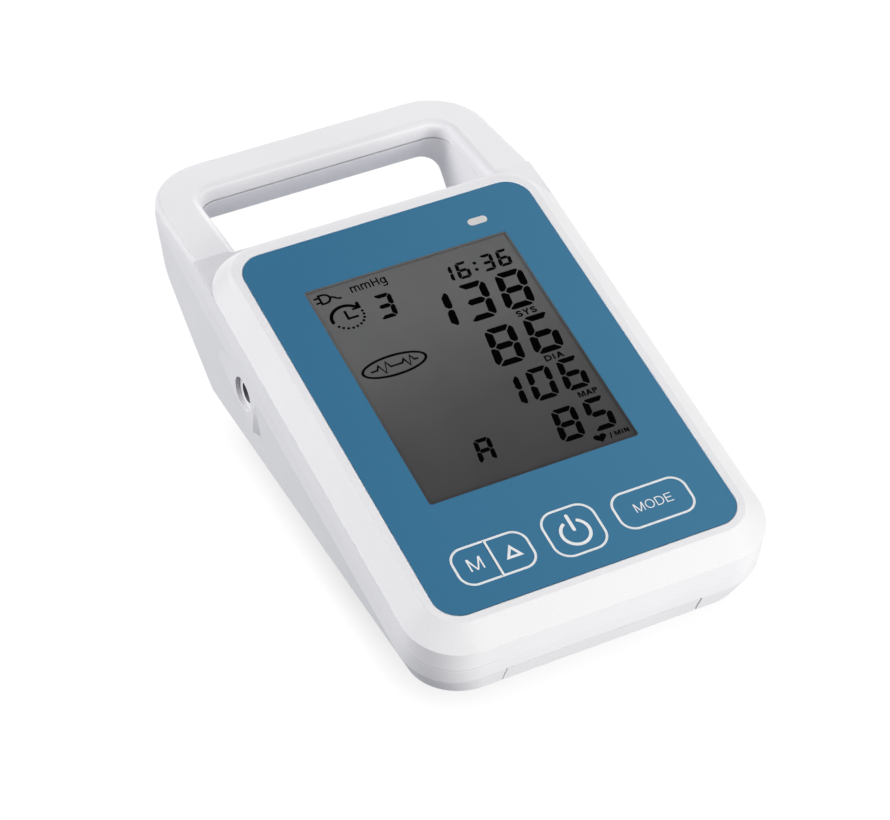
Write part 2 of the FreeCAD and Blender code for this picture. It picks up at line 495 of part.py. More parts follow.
# ---------------------------------------------------------------- battery bay and door
bay = box(-36.0, 36.0, -75.0, -13.0, Z_BASE + 2.0, -27.8)
bay = bay.common(inner)
bay_in = box(-31.5, 31.5, -73.0, -15.0, -60, -29.3)
bay_slot = box(-33.4, 33.4, -90.0, -14.0, Z_BASE + 2.2, -42.8)
door_hole = fuse(box(-DOOR_X, DOOR_X, -90, DOOR_Y1, -60, Z_BASE + 3.0),
                 box(-FLAP_X, FLAP_X, -100, -75.0, -60, FLAP_Z))
shell = cut(outer, inner)
door = shell.common(fuse(box(-DOOR_X + 0.15, DOOR_X - 0.15, -80, DOOR_Y1 - 0.3, -60, Z_BASE + 2.2),
                         box(-FLAP_X + FLAP_GAP_L, FLAP_X - FLAP_GAP_R, -100, -75.2, -60, FLAP_Z - 0.03)))
for s in (-1, 1):
    x0, x1 = sorted((s * 29.2, s * 30.85))
    door = door.fuse(box(x0, x1, -70.0, -16.0, Z_BASE + 1.5, -43.1))
    x0, x1 = sorted((s * 30.0, s * 33.1))
    door = door.fuse(box(x0, x1, -70.0, -16.0, Z_BASE + 2.4, -43.1))
grip = [box(-12, 12, y, y + 0.8, Z_BASE - 1, Z_BASE + 0.5) for y in (-70, -67.5, -65, -62.5)]
door = cut(door.removeSplitter(), *grip)
node("battery_door", one(door))
cells, springs, plates = [], [], []
for i in range(4):
    x = (i - 1.5) * CELL_PITCH
    if i % 2 == 0:
        y0, nub, ys, yp, d = -67.4, -18.2, -72.45, -15.0, 1
    else:
        y0, nub, ys, yp, d = -69.8, -69.8, -20.6, -73.0, -1
    body = cyl((x, y0, CELL_Z), (0, 1, 0), CELL_R, 49.2)
    tip = cyl((x, nub - 0.2 if d > 0 else nub - 1.0, CELL_Z), (0, 1, 0), 2.6, 1.2)
    cells.append(one(body.fuse(tip).removeSplitter()))
    turns, per = 3.25, 8
    n = int(turns * per)
    rp = 3.2 / math.cos(math.pi / per)
    path = [(rp * math.cos(2 * math.pi * k / per), rp * math.sin(2 * math.pi * k / per), 4.1 * k / n)
            for k in range(n + 1)]
    sp = pipe(path, 2.9, 0.32)
    sp.Placement = FreeCAD.Placement(V(x, ys + 0.48, CELL_Z), FreeCAD.Rotation(V(1, 0, 0), -90))
    springs.append(sp)
    if d > 0:
        plates.append(one(fuse(box(x - 5, x + 5, -15.5, -15.0, CELL_Z - 5, CELL_Z + 5),
                               cyl((x, -17.1, CELL_Z), (0, 1, 0), 2.0, 1.8))))
        plates.append(box(x - 5, x + 5, -73.0, -72.5, CELL_Z - 5, CELL_Z + 5))
    else:
        plates.append(one(fuse(box(x - 5, x + 5, -73.0, -72.5, CELL_Z - 5, CELL_Z + 5),
                               cyl((x, -72.6, CELL_Z), (0, 1, 0), 2.0, 1.7))))
        plates.append(box(x - 5, x + 5, -15.5, -15.0, CELL_Z - 5, CELL_Z + 5))
node("battery_cells", Part.makeCompound(cells))
node("battery_springs", Part.makeCompound(springs))
node("battery_contact_plates", Part.makeCompound(plates))
leads, lead_holes = [], []
for x in (-22.2, 22.2):
    yb = -14.0
    top = z_on(BOARD_BOT, -4.0) - 0.25
    leads.append(pipe([(x, -14.9, CELL_Z), (x, -4.0, CELL_Z), (x, -4.0, top)], 4.0, 0.75))
    lead_holes.append(cyl((x, -20, CELL_Z), (0, 1, 0), 0.95, 12))
node("battery_leads", Part.makeCompound(leads))

# ---------------------------------------------------------------- lower housing details
FEET = [(-44.0, -58.0), (44.0, -58.0), (-44.0, 66.0), (44.0, 66.0)]
posts = [box(MX - 3, MX + 3, MY - 3, MY + 3, Z_BASE + 1.5, MZ - 4),
         cut(box(-4.0, 8.0, VY - 4, VY + 4, Z_BASE + 1.5, MZ - 4), cyl((-30, VY, MZ), (1, 0, 0), 7.08, 60))]
lower = lower.fuse(lower_add + [bay, pad] + posts).removeSplitter()
foot_pockets = [cyl((x, y, -60), (0, 0, 1), 6.1, 60 + Z_BASE + 0.9) for x, y in FEET]
lower = cut(lower, bay_in, bay_slot, door_hole, wall_hole, jack_hole, *(lower_bore + foot_pockets + lead_holes))
node("lower_housing", one(lower))
node("rubber_feet", Part.makeCompound([cyl((x, y, Z_BASE - FOOT_H), (0, 0, 1), 6.0, FOOT_H + 0.9) for x, y in FEET]))

# ---------------------------------------------------------------- write the pieces
for name, s in NODES.items():
    s = s.copy()
    s.translate(SHIFT)
    s.exportStep("parts/%s.step" % name)
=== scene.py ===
import bpy
import bmesh
import math
from mathutils import Matrix, Vector
from mathutils.geometry import tessellate_polygon


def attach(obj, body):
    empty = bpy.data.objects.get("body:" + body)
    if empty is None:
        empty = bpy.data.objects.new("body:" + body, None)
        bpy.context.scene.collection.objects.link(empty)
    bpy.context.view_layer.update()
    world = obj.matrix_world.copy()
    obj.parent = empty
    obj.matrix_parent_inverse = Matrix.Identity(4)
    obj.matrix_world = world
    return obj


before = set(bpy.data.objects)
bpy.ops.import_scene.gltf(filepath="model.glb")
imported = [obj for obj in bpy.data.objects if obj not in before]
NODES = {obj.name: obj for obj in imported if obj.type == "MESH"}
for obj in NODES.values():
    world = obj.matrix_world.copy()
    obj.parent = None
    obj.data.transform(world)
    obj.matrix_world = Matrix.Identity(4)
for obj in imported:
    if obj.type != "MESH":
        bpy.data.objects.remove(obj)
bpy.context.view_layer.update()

scene = bpy.context.scene

# ------------------------------------------------------------------ panel axes
# Flat artwork is drawn in millimetres on the sloping panel: u to the right, v up the panel,
# w out of the panel.  at() turns that into metres in the shared frame.
TILT = math.radians(11.85)
CT, ST = math.cos(TILT), math.sin(TILT)


def at(u, v, w):
    return Vector((u, v * CT - w * ST - 27.5, v * ST + w * CT + 47.5)) * 0.001


# ------------------------------------------------------------------ node material tools
class Tree:
    """One node material, with its coordinates in millimetres."""

    def __init__(self, name):
        self.mat = bpy.data.materials.new(name)
        self.mat.use_nodes = True
        self.t = self.mat.node_tree
        self.t.nodes.clear()
        self.out = self.t.nodes.new("ShaderNodeOutputMaterial")
        tc = self.t.nodes.new("ShaderNodeTexCoord")
        mp = self.t.nodes.new("ShaderNodeMapping")
        mp.inputs["Scale"].default_value = (1000, 1000, 1000)
        self.t.links.new(tc.outputs["Object"], mp.inputs["Vector"])
        self.mm = mp.outputs["Vector"]

    def new(self, kind, **props):
        n = self.t.nodes.new(kind)
        for k, v in props.items():
            setattr(n, k, v)
        return n

    def link(self, a, b):
        self.t.links.new(a, b)

    def noise(self, scale, detail=2.0, rough=0.5, vec=None, distortion=0.0):
        n = self.new("ShaderNodeTexNoise")
        n.inputs["Scale"].default_value = scale
        n.inputs["Detail"].default_value = detail
        n.inputs["Roughness"].default_value = rough
        n.inputs["Distortion"].default_value = distortion
        self.link(vec or self.mm, n.inputs["Vector"])
        return n.outputs["Fac"]

    def stretched(self, scale):
        m = self.new("ShaderNodeMapping")
        m.inputs["Scale"].default_value = scale
        self.link(self.mm, m.inputs["Vector"])
        return m.outputs["Vector"]

    def voronoi(self, scale, feature="F1"):
        n = self.new("ShaderNodeTexVoronoi", feature=feature)
        n.inputs["Scale"].default_value = scale
        self.link(self.mm, n.inputs["Vector"])
        return n.outputs["Distance"]

    def ramp(self, fac, stops):
        n = self.new("ShaderNodeValToRGB")
        e = n.color_ramp.elements
        while len(e) < len(stops):
            e.new(0.5)
        for el, (p, c) in zip(e, stops):
            el.position = p
            el.color = (*c, 1.0) if len(c) == 3 else c
        self.link(fac, n.inputs["Fac"])
        return n.outputs["Color"]

    def range(self, fac, a, b, c, d):
        n = self.new("ShaderNodeMapRange")
        n.inputs["From Min"].default_value = a
        n.inputs["From Max"].default_value = b
        n.inputs["To Min"].default_value = c
        n.inputs["To Max"].default_value = d
        self.link(fac, n.inputs["Value"])
        return n.outputs["Result"]

    def mix(self, a, b, fac, mode="MIX"):
        n = self.new("ShaderNodeMix", data_type="RGBA", blend_type=mode)
        if isinstance(fac, (int, float)):
            n.inputs[0].default_value = fac
        else:
            self.link(fac, n.inputs[0])
        for sock, val in ((n.inputs[6], a), (n.inputs[7], b)):
            if isinstance(val, tuple):
                sock.default_value = (*val, 1.0)
            else:
                self.link(val, sock)
        return n.outputs[2]

    def math(self, op, a, b=None):
        n = self.new("ShaderNodeMath", operation=op)
        for sock, val in ((n.inputs[0], a), (n.inputs[1], b)):
            if val is None:
                continue
            if isinstance(val, (int, float)):
                sock.default_value = val
            else:
                self.link(val, sock)
        return n.outputs[0]

    def bump(self, height, strength, dist_mm, normal=None):
        n = self.new("ShaderNodeBump")
        n.inputs["Strength"].default_value = strength
        n.inputs["Distance"].default_value = dist_mm * 0.001
        self.link(height, n.inputs["Height"])
        if normal is not None:
            self.link(normal, n.inputs["Normal"])
        return n.outputs["Normal"]

    def principled(self, color, rough, normal=None, **fixed):
        p = self.new("ShaderNodeBsdfPrincipled")
        self.link(color, p.inputs["Base Color"])
        self.link(rough, p.inputs["Roughness"])
        if normal is not None:
            self.link(normal, p.inputs["Normal"])
        for k, v in fixed.items():
            p.inputs[k.replace("_", " ")].default_value = v
        self.link(p.outputs["BSDF"], self.out.inputs["Surface"])
        return p


def lin(*rgb):
    """sRGB 0-255 to linear."""
    out = []
    for c in rgb:
        c /= 255.0
        out.append(c / 12.92 if c <= 0.04045 else ((c + 0.055) / 1.055) ** 2.4)
    return tuple(out)


def shade(c, k):
    return tuple(min(1.0, x * k) for x in c)


def moulded(name, colour, rough=(0.40, 0.52), grain=3.0, grain_amt=0.035, bump=0.22, depth=0.03,
            mottle=0.02, soft_edge=0.0, joint_highlight=0.0, rim_highlight=0.0, **fixed):
    """Injection-moulded plastic: slow drift of tone, a fine eroded grain and an uneven sheen."""
    m = Tree(name)
    slow = m.noise(0.035, 3.0, 0.55)
    fine = m.noise(grain, 2.0, 0.6)
    micro = m.noise(grain * 2.7, 1.0, 0.5)
    base = m.ramp(slow, [(0.25, shade(colour, 1.0 - mottle)), (0.75, shade(colour, 1.0 + mottle))])
    speck = m.ramp(fine, [(0.30, shade((1, 1, 1), 1.0 - grain_amt)), (0.62, (1, 1, 1))])
    col = m.mix(base, speck, 1.0, "MULTIPLY")
    soft = None
    if joint_highlight:
        # painted highlight along the moulded edge at the sloping shell joint on the front
        sep = m.new("ShaderNodeSeparateXYZ")
        m.link(m.mm, sep.inputs[0])
        up = m.math("ADD", m.math("MULTIPLY", m.math("SUBTRACT", sep.outputs["Z"], 47.5), CT),
                    m.math("MULTIPLY", m.math("ADD", sep.outputs["Y"], 27.5), -ST))
        off = m.math("ABSOLUTE", m.math("ADD", up, 14.6 + 0.22))
        front = m.range(sep.outputs["Y"], -104.0, -84.0, 1.0, 0.0)
        col = m.mix(col, shade(colour, joint_highlight), m.math("MULTIPLY", m.range(off, 0.12, 0.34, 1.0, 0.0), front))
        # painted shade low down at the left front corner, near the floor
        dust_and_shade = m.math("MULTIPLY", m.range(sep.outputs["X"], -52.0, -41.0, 1.0, 0.0),
                      m.math("MULTIPLY", m.range(sep.outputs["Y"], -98.0, -80.0, 1.0, 0.0),
                             m.range(sep.outputs["Z"], 6.0, 20.0, 1.0, 0.0)))
        col = m.mix(col, m.mix(col, (0.85, 0.85, 0.855), 1.0, "MULTIPLY"), dust_and_shade)
        # the hole round the hose socket: a painted highlight at its edge, and painted shade inside that darkens
        # towards the top of the hole
        dy = m.math("SUBTRACT", sep.outputs["Y"], SOCKET_Y)
        dz = m.math("SUBTRACT", sep.outputs["Z"], SOCKET_Z)
        rad = m.math("SQRT", m.math("ADD", m.math("MULTIPLY", dy, dy), m.math("MULTIPLY", dz, dz)))
        near = m.range(sep.outputs["X"], -55.5, -54.5, 1.0, 0.0)
        inside = m.math("MULTIPLY", near, m.range(rad, 6.08, 6.14, 1.0, 0.0))
        hole_edge_highlight = m.math("MULTIPLY", near, m.math("MULTIPLY", m.range(rad, 6.05, 6.12, 0.0, 1.0),
                                               m.range(rad, 6.34, 6.5, 1.0, 0.0)))
        hole_shade = m.ramp(m.range(dz, -5.0, 3.0, 0.0, 1.0), [(0.0, (1, 1, 1)), (1.0, (0.45, 0.45, 0.47))])
        col = m.mix(col, m.mix(col, hole_shade, 1.0, "MULTIPLY"), inside)
        col = m.mix(col, shade(colour, 1.10), hole_edge_highlight)
        # painted light on the small front slope of the raised flat below the socket, which lies in shade
        geo = m.new("ShaderNodeNewGeometry")
        gs = m.new("ShaderNodeSeparateXYZ")
        m.link(geo.outputs["True Normal"], gs.inputs[0])
        slope_light = m.math("MULTIPLY", m.range(gs.outputs["Y"], -0.25, -0.12, 1.0, 0.0),
                       m.range(sep.outputs["X"], -56.0, -55.0, 1.0, 0.0))
        slope_light = m.math("MULTIPLY", slope_light, m.math("MULTIPLY", m.range(sep.outputs["Y"], -12.0, -10.0, 0.0, 1.0),
                                                 m.range(rad, 6.5, 6.9, 0.0, 1.0)))
        col = m.mix(col, shade(colour, 1.19), slope_light)
        soft = m.range(m.math("ADD", rad, m.math("MULTIPLY", m.math("SUBTRACT", 1.0, near), 20.0)),
                       6.8, 7.6, 0.0, soft_edge * 0.001)
    if rim_highlight:
        # painted highlight along the edge of the recess that holds the panel sheet, save at the front
        sep = m.new("ShaderNodeSeparateXYZ")
        m.link(m.mm, sep.inputs[0])
        # painted shadow line along the joint of the shells at the left front corner
        up = m.math("ADD", m.math("MULTIPLY", m.math("SUBTRACT", sep.outputs["Z"], 47.5), CT),
                    m.math("MULTIPLY", m.math("ADD", sep.outputs["Y"], 27.5), -ST))
        seam_shadow = m.range(m.math("ABSOLUTE", m.math("ADD", up, 14.6 - 0.28)), 0.14, 0.32, 1.0, 0.0)
        seam_shadow = m.math("MULTIPLY", seam_shadow, m.math("MULTIPLY", m.range(sep.outputs["X"], -48.0, -22.0, 1.0, 0.0),
                                               m.range(sep.outputs["Y"], -104.0, -88.0, 1.0, 0.0)))
        col = m.mix(col, shade(colour, 0.86), seam_shadow)
        vv = m.math("ADD", m.math("MULTIPLY", m.math("ADD", sep.outputs["Y"], 27.5), CT),
                    m.math("MULTIPLY", m.math("SUBTRACT", sep.outputs["Z"], 47.5), ST))
        qx = m.math("MAXIMUM", m.math("SUBTRACT", m.math("ABSOLUTE", m.math("SUBTRACT", sep.outputs["X"], 0.135)),
                                      52.715 - 8.5), 0.0)
        qy = m.math("MAXIMUM", m.math("SUBTRACT", m.math("ABSOLUTE", m.math("ADD", vv, 0.10)), 78.55 - 8.5), 0.0)
        away = m.math("SUBTRACT", m.math("SQRT", m.math("ADD", m.math("MULTIPLY", qx, qx), m.math("MULTIPLY", qy, qy))), 8.5)
        rim_line_mask = m.math("MULTIPLY", m.range(away, 0.36, 0.58, 1.0, 0.0), m.range(vv, -79.0, -74.0, 0.0, 1.0))
        # painted shade: the flat of the rim next to the panel is a little darker, save at the front
        flat = m.math("MULTIPLY", m.range(away, 2.4, 3.0, 1.0, 0.0), m.range(vv, -77.0, -70.0, 0.0, 1.0))
        col = m.mix(col, m.mix(col, (0.972, 0.972, 0.972), 1.0, "MULTIPLY"), flat)
        col = m.mix(col, shade(colour, rim_highlight), rim_line_mask)
        # painted highlights on the edge of the strip behind the panel, and a painted highlight stripe along the
        # rounded lip of the hand hold
        back_highlight = m.math("MULTIPLY", m.range(away, 3.55, 3.95, 0.0, 1.0), m.range(away, 4.7, 5.1, 1.0, 0.0))
        back_highlight = m.math("MULTIPLY", back_highlight, m.range(vv, 66.0, 72.0, 0.0, 1.0))
        col = m.mix(col, shade(colour, 1.025), back_highlight)
        geo = m.new("ShaderNodeNewGeometry")
        gs = m.new("ShaderNodeSeparateXYZ")
        m.link(geo.outputs["True Normal"], gs.inputs[0])
        hold_highlight = m.math("MULTIPLY", m.range(gs.outputs["Z"], 0.46, 0.58, 0.0, 1.0), m.range(gs.outputs["Z"], 0.70, 0.80, 1.0, 0.0))
        hold_highlight = m.math("MULTIPLY", hold_highlight, m.range(sep.outputs["Y"], 92.0, 95.0, 0.0, 1.0))
        hold_highlight = m.math("MULTIPLY", hold_highlight, m.range(gs.outputs["Y"], -0.60, -0.40, 1.0, 0.0))
        col = m.mix(col, shade(colour, 1.09), hold_highlight)
        lip = m.math("MULTIPLY", m.range(vv, 81.4, 82.0, 0.0, 1.0), m.range(vv, 84.5, 85.5, 1.0, 0.0))
        soft = m.range(lip, 0.0, 1.0, soft_edge * 0.001, 0.0)
    r = m.range(m.math("ADD", m.math("MULTIPLY", slow, 0.5), m.math("MULTIPLY", fine, 0.5)),
                0.3, 0.7, rough[0], rough[1])
    h = m.math("ADD", m.math("MULTIPLY", fine, 0.7), m.math("MULTIPLY", micro, 0.3))
    nrm = None
    if soft_edge:
        b = m.new("ShaderNodeBevel", samples=4)
        b.inputs["Radius"].default_value = soft_edge * 0.001
        if soft is not None:
            m.link(soft, b.inputs["Radius"])
        nrm = b.outputs["Normal"]
    nrm = m.bump(h, bump, depth, nrm)
    m.principled(col, r, nrm, **fixed)
    return m.mat


def metal(name, colour, rough=(0.22, 0.42), along=(1, 1, 1), bump=0.2):
    m = Tree(name)
    streak = m.noise(2.0, 3.0, 0.6, m.stretched(along))
    tarnish = m.noise(0.25, 4.0, 0.6)
    col = m.mix(m.ramp(tarnish, [(0.3, shade(colour, 0.72)), (0.7, colour)]),
                m.ramp(streak, [(0.2, (0.86, 0.86, 0.86)), (0.8, (1, 1, 1))]), 1.0, "MULTIPLY")
    m.principled(col, m.range(streak, 0.25, 0.75, rough[0], rough[1]), m.bump(streak, bump, 0.02),
                 Metallic=1.0)
    return m.mat


def rubbery(name, colour, rough=(0.62, 0.82), grain=1.6):
    m = Tree(name)
    n = m.noise(grain, 4.0, 0.65)
    dust_and_shade = m.noise(0.12, 3.0, 0.6)
    col = m.mix(m.ramp(n, [(0.3, shade(colour, 0.8)), (0.7, shade(colour, 1.15))]),
                shade(colour, 1.9), m.range(dust_and_shade, 0.52, 0.75, 0.0, 0.35))
    m.principled(col, m.range(n, 0.3, 0.7, rough[0], rough[1]), m.bump(n, 0.3, 0.05))
    return m.mat


# ------------------------------------------------------------------ materials
WHITE = lin(236.5, 235, 239)
SOCKET_Y, SOCKET_Z = 23.2, 30.5
MAT = {}
MAT["white_shell"] = moulded("white_shell", WHITE, (0.40, 0.54), 2.6, 0.05, 0.35, 0.05, 0.012,
                             soft_edge=0.3, rim_highlight=1.16, Specular_IOR_Level=0.38)
# the lower shell and battery door: the same white painted 2.5% darker, as painted shade on the lower walls
MAT["white_lower"] = moulded("white_lower", shade(WHITE, 0.975), (0.40, 0.54), 2.6, 0.05, 0.35, 0.05, 0.012,
                             soft_edge=0.3, joint_highlight=1.10, Specular_IOR_Level=0.38)
MAT["white_inner"] = moulded("white_inner", lin(222, 222, 224), (0.45, 0.6), 2.2, 0.05, 0.3, 0.05, 0.03)
MAT["black_inner"] = moulded("black_inner", lin(38, 38, 40), (0.42, 0.58), 2.4, 0.10, 0.3, 0.05, 0.08)


def socket_plastic(name):
    """Pale moulding whose bore is painted darker grey as painted shade, with ring marks from the plug."""
    m = Tree(name)
    sep = m.new("ShaderNodeSeparateXYZ")
    m.link(m.mm, sep.inputs[0])
    dy = m.math("SUBTRACT", sep.outputs["Y"], SOCKET_Y)
    dz = m.math("SUBTRACT", sep.outputs["Z"], SOCKET_Z)
    rad = m.math("SQRT", m.math("ADD", m.math("MULTIPLY", dy, dy), m.math("MULTIPLY", dz, dz)))
    bore = m.math("LESS_THAN", rad, 3.52)
    fine = m.noise(3.2, 2.0, 0.6)
    slow = m.noise(0.2, 3.0, 0.55)
    pale = m.ramp(slow, [(0.3, lin(240, 240, 243)), (0.7, lin(246, 246, 249))])
    ring = m.noise(0.9, 2.0, 0.6, m.stretched((4.0, 0.4, 0.4)))
    bore_shade = m.ramp(ring, [(0.3, lin(112, 112, 116)), (0.7, lin(128, 128, 132))])
    col = m.mix(m.mix(pale, bore_shade, bore), m.ramp(fine, [(0.3, (0.965, 0.965, 0.965)), (0.65, (1, 1, 1))]), 1.0, "MULTIPLY")
    m.principled(col, m.range(fine, 0.3, 0.7, 0.34, 0.48), m.bump(fine, 0.2, 0.03))
    return m.mat


MAT["socket_plastic"] = socket_plastic("socket_plastic")
MAT["plunger"] = moulded("plunger", lin(206, 196, 170), (0.4, 0.55), 3.5, 0.04, 0.25, 0.03, 0.03)


def overlay(name):
    """Printed polyester sheet: blue ink under a fine matt hard coat, with painted light making it lighter towards the
    right and front.
    """
    m = Tree(name)
    slow = m.noise(0.018, 2.0, 0.5)
    fine = m.noise(4.5, 2.0, 0.6)
    wisp = m.noise(0.35, 4.0, 0.6)
    sep = m.new("ShaderNodeSeparateXYZ")
    m.link(m.mm, sep.inputs[0])
    # painted light: the blue grows lighter towards the right and front
    across = m.math("ADD", sep.outputs["X"], m.math("MULTIPLY", m.math("ADD", sep.outputs["Y"], 27.5), -0.25))
    blue_painted_light = m.ramp(m.range(across, -55.0, 55.0, 0.0, 1.0), [(0.0, lin(56, 112.4, 148)), (1.0, lin(65.4, 121, 155.2))])
    base = m.mix(blue_painted_light, m.ramp(slow, [(0.3, (0.975, 0.975, 0.975)), (0.7, (1, 1, 1))]), 1.0, "MULTIPLY")
    col = m.mix(base, m.ramp(fine, [(0.3, (0.95, 0.955, 0.96)), (0.7, (1, 1, 1))]), 1.0, "MULTIPLY")
    r = m.range(m.math("ADD", m.math("MULTIPLY", wisp, 0.6), m.math("MULTIPLY", fine, 0.4)),
                0.3, 0.7, 0.48, 0.60)
    m.principled(col, r, m.bump(fine, 0.12, 0.015), Specular_IOR_Level=0.07)
    return m.mat


MAT["blue_sheet"] = overlay("blue_sheet")
MAT["blue_key"] = overlay("blue_key")


def white_ink(name):
    m = Tree(name)
    fine = m.noise(5.0, 2.0, 0.6)
    slow = m.noise(0.4, 3.0, 0.6)
    col = m.mix(m.ramp(slow, [(0.3, lin(229, 231, 233)), (0.7, lin(236, 237, 239))]),
                m.ramp(fine, [(0.28, (0.93, 0.94, 0.95)), (0.6, (1, 1, 1))]), 1.0, "MULTIPLY")
    m.principled(col, m.range(fine, 0.3, 0.7, 0.45, 0.6), m.bump(fine, 0.15, 0.01))
    return m.mat


def dark_ink(name, colour, gloss=0.2):
    m = Tree(name)
    fine = m.noise(4.0, 2.0, 0.6)
    col = m.ramp(fine, [(0.3, shade(colour, 0.8)), (0.7, shade(colour, 1.25))])
    m.principled(col, m.range(fine, 0.3, 0.7, 0.5, 0.65), m.bump(fine, 0.1, 0.01),
                 Specular_IOR_Level=gloss)
    return m.mat


INK_WHITE = white_ink("white_print")
INK_LCD = dark_ink("display_segment", lin(2, 2, 2), 0.0)


def lcd_glass(name, k=1.0):
    """Polariser over the cell: grey that darkens towards the keys, with a faint mottle."""
    m = Tree(name)
    sep = m.new("ShaderNodeSeparateXYZ")
    m.link(m.mm, sep.inputs[0])
    fine = m.noise(2.2, 3.0, 0.6)
    slow = m.noise(0.05, 2.0, 0.5)
    y = m.math("ADD", sep.outputs["Y"], m.math("MULTIPLY", m.math("SUBTRACT", slow, 0.5), 10.0))
    y = m.math("ADD", y, m.math("MULTIPLY", sep.outputs["X"], -0.10))
    fac = m.range(y, -64.0, 30.0, 0.0, 1.0)
    base = m.ramp(fac, [(0.0, shade(lin(69, 67.3, 69), k)), (0.35, shade(lin(82, 80.4, 81.4), k)),
                        (0.75, shade(lin(102, 101.4, 102.4), k)), (1.0, shade(lin(104, 103.4, 104.4), k))])
    col = m.mix(base, m.ramp(fine, [(0.3, (0.965, 0.965, 0.97)), (0.7, (1, 1, 1))]), 1.0, "MULTIPLY")
    m.principled(col, m.range(fine, 0.3, 0.7, 0.42, 0.55), m.bump(fine, 0.06, 0.01),
                 Specular_IOR_Level=0.06)
    return m.mat


MAT["display"] = lcd_glass("display")
INK_EDGE = lcd_glass("window_border_print", 1.12)


def clear_sheet(name):
    """Thin clear window: light goes straight through, with a weak fine-hazed gloss on top."""
    m = Tree(name)
    fine = m.noise(3.0, 3.0, 0.6)
    smear = m.noise(0.06, 4.0, 0.65)
    clear = m.new("ShaderNodeBsdfTransparent")
    m.link(m.ramp(smear, [(0.3, (0.965, 0.97, 0.97)), (0.7, (0.99, 0.99, 0.99))]), clear.inputs["Color"])
    gloss = m.new("ShaderNodeBsdfGlossy")
    gloss.inputs["Color"].default_value = (0.9, 0.9, 0.9, 1)
    m.link(m.range(m.math("ADD", m.math("MULTIPLY", fine, 0.4), m.math("MULTIPLY", smear, 0.6)),
                   0.3, 0.7, 0.32, 0.46), gloss.inputs["Roughness"])
    m.link(m.bump(fine, 0.1, 0.01), gloss.inputs["Normal"])
    mixer = m.new("ShaderNodeMixShader")
    m.link(m.range(smear, 0.3, 0.7, 0.0008, 0.0018), mixer.inputs[0])
    m.link(clear.outputs[0], mixer.inputs[1])
    m.link(gloss.outputs[0], mixer.inputs[2])
    m.link(mixer.outputs[0], m.out.inputs["Surface"])
    return m.mat


MAT["window"] = clear_sheet("window")


def milky(name, colour, rough):
    m = Tree(name)
    n = m.noise(1.4, 3.0, 0.6)
    slow = m.noise(0.5, 2.0, 0.5)
    col = m.mix(m.ramp(slow, [(0.3, shade(colour, 0.95)), (0.7, shade(colour, 1.04))]),
                m.ramp(n, [(0.3, (0.95, 0.95, 0.95)), (0.7, (1, 1, 1))]), 1.0, "MULTIPLY")
    m.principled(col, m.range(n, 0.3, 0.7, rough, rough + 0.12), m.bump(n, 0.12, 0.02),
                 Subsurface_Weight=0.15, Subsurface_Scale=0.001)
    return m.mat


MAT["light_lens"] = milky("light_lens", lin(216, 213, 214), 0.30)
MAT["light_guide"] = milky("light_guide", lin(238, 240, 238), 0.38)
MAT["silicone"] = milky("silicone", lin(214, 212, 206), 0.45)
MAT["elastomer"] = rubbery("elastomer", lin(150, 152, 156), (0.55, 0.75), 2.4)
MAT["foot_rubber"] = rubbery("foot_rubber", lin(44, 44, 48))


def circuit_board(name):
    """Green resist with copper tracks showing through and pale screen-printed ticks."""
    m = Tree(name)
    weave = m.noise(5.0, 2.0, 0.5)
    b = m.new("ShaderNodeTexBrick")
    b.inputs["Scale"].default_value = 0.22
    b.inputs["Mortar Size"].default_value = 0.035
    b.inputs["Color1"].default_value = (*lin(22, 84, 52), 1)
    b.inputs["Color2"].default_value = (*lin(26, 94, 58), 1)
    b.inputs["Mortar"].default_value = (*lin(58, 128, 74), 1)
    m.link(m.mm, b.inputs["Vector"])
    col = m.mix(b.outputs["Color"], m.ramp(weave, [(0.3, (0.82, 0.84, 0.82)), (0.7, (1, 1, 1))]), 1.0, "MULTIPLY")
    h = m.math("ADD", m.math("MULTIPLY", b.outputs["Fac"], 0.7), m.math("MULTIPLY", weave, 0.3))
    m.principled(col, m.range(weave, 0.3, 0.7, 0.28, 0.44), m.bump(h, 0.3, 0.03))
    return m.mat


MAT["board"] = circuit_board("board")
MAT["screw_steel"] = metal("screw_steel", lin(198, 198, 202), (0.25, 0.42), (1, 1, 6))
MAT["motor_steel"] = metal("motor_steel", lin(188, 190, 194), (0.28, 0.48), (0.4, 6, 6))
MAT["spring_steel"] = metal("spring_steel", lin(206, 204, 200), (0.2, 0.35), (3, 1, 3))


def wire_jacket(name):
    m = Tree(name)
    sep = m.new("ShaderNodeSeparateXYZ")
    m.link(m.mm, sep.inputs[0])
    n = m.noise(3.0, 3.0, 0.6)
    side = m.math("GREATER_THAN", m.math("FRACT", m.math("MULTIPLY", sep.outputs["X"], 0.02)), 0.5)
    col = m.mix(m.ramp(n, [(0.3, lin(150, 22, 20)), (0.7, lin(186, 34, 28))]),
                m.ramp(n, [(0.3, lin(22, 22, 24)), (0.7, lin(46, 46, 48))]), side)
    m.principled(col, m.range(n, 0.3, 0.7, 0.4, 0.55), m.bump(n, 0.15, 0.02))
    return m.mat


MAT["wire"] = wire_jacket("wire")


def cell_jacket(name):
    """Plain shrink sleeve: pale grey body, darker band at one end, fine lengthwise scuffs."""
    m = Tree(name)
    sep = m.new("ShaderNodeSeparateXYZ")
    m.link(m.mm, sep.inputs[0])
    scuff = m.noise(1.2, 3.0, 0.6, m.stretched((3, 0.3, 3)))
    band = m.math("GREATER_THAN", sep.outputs["Y"], -60.0)
    col = m.mix(m.ramp(scuff, [(0.3, lin(60, 64, 72)), (0.7, lin(78, 82, 90))]),
                m.ramp(scuff, [(0.3, lin(176, 178, 182)), (0.7, lin(204, 206, 210))]), band)
    m.principled(col, m.range(scuff, 0.3, 0.7, 0.28, 0.42), m.bump(scuff, 0.12, 0.02))
    return m.mat


MAT["cell_jacket"] = cell_jacket("cell_jacket")

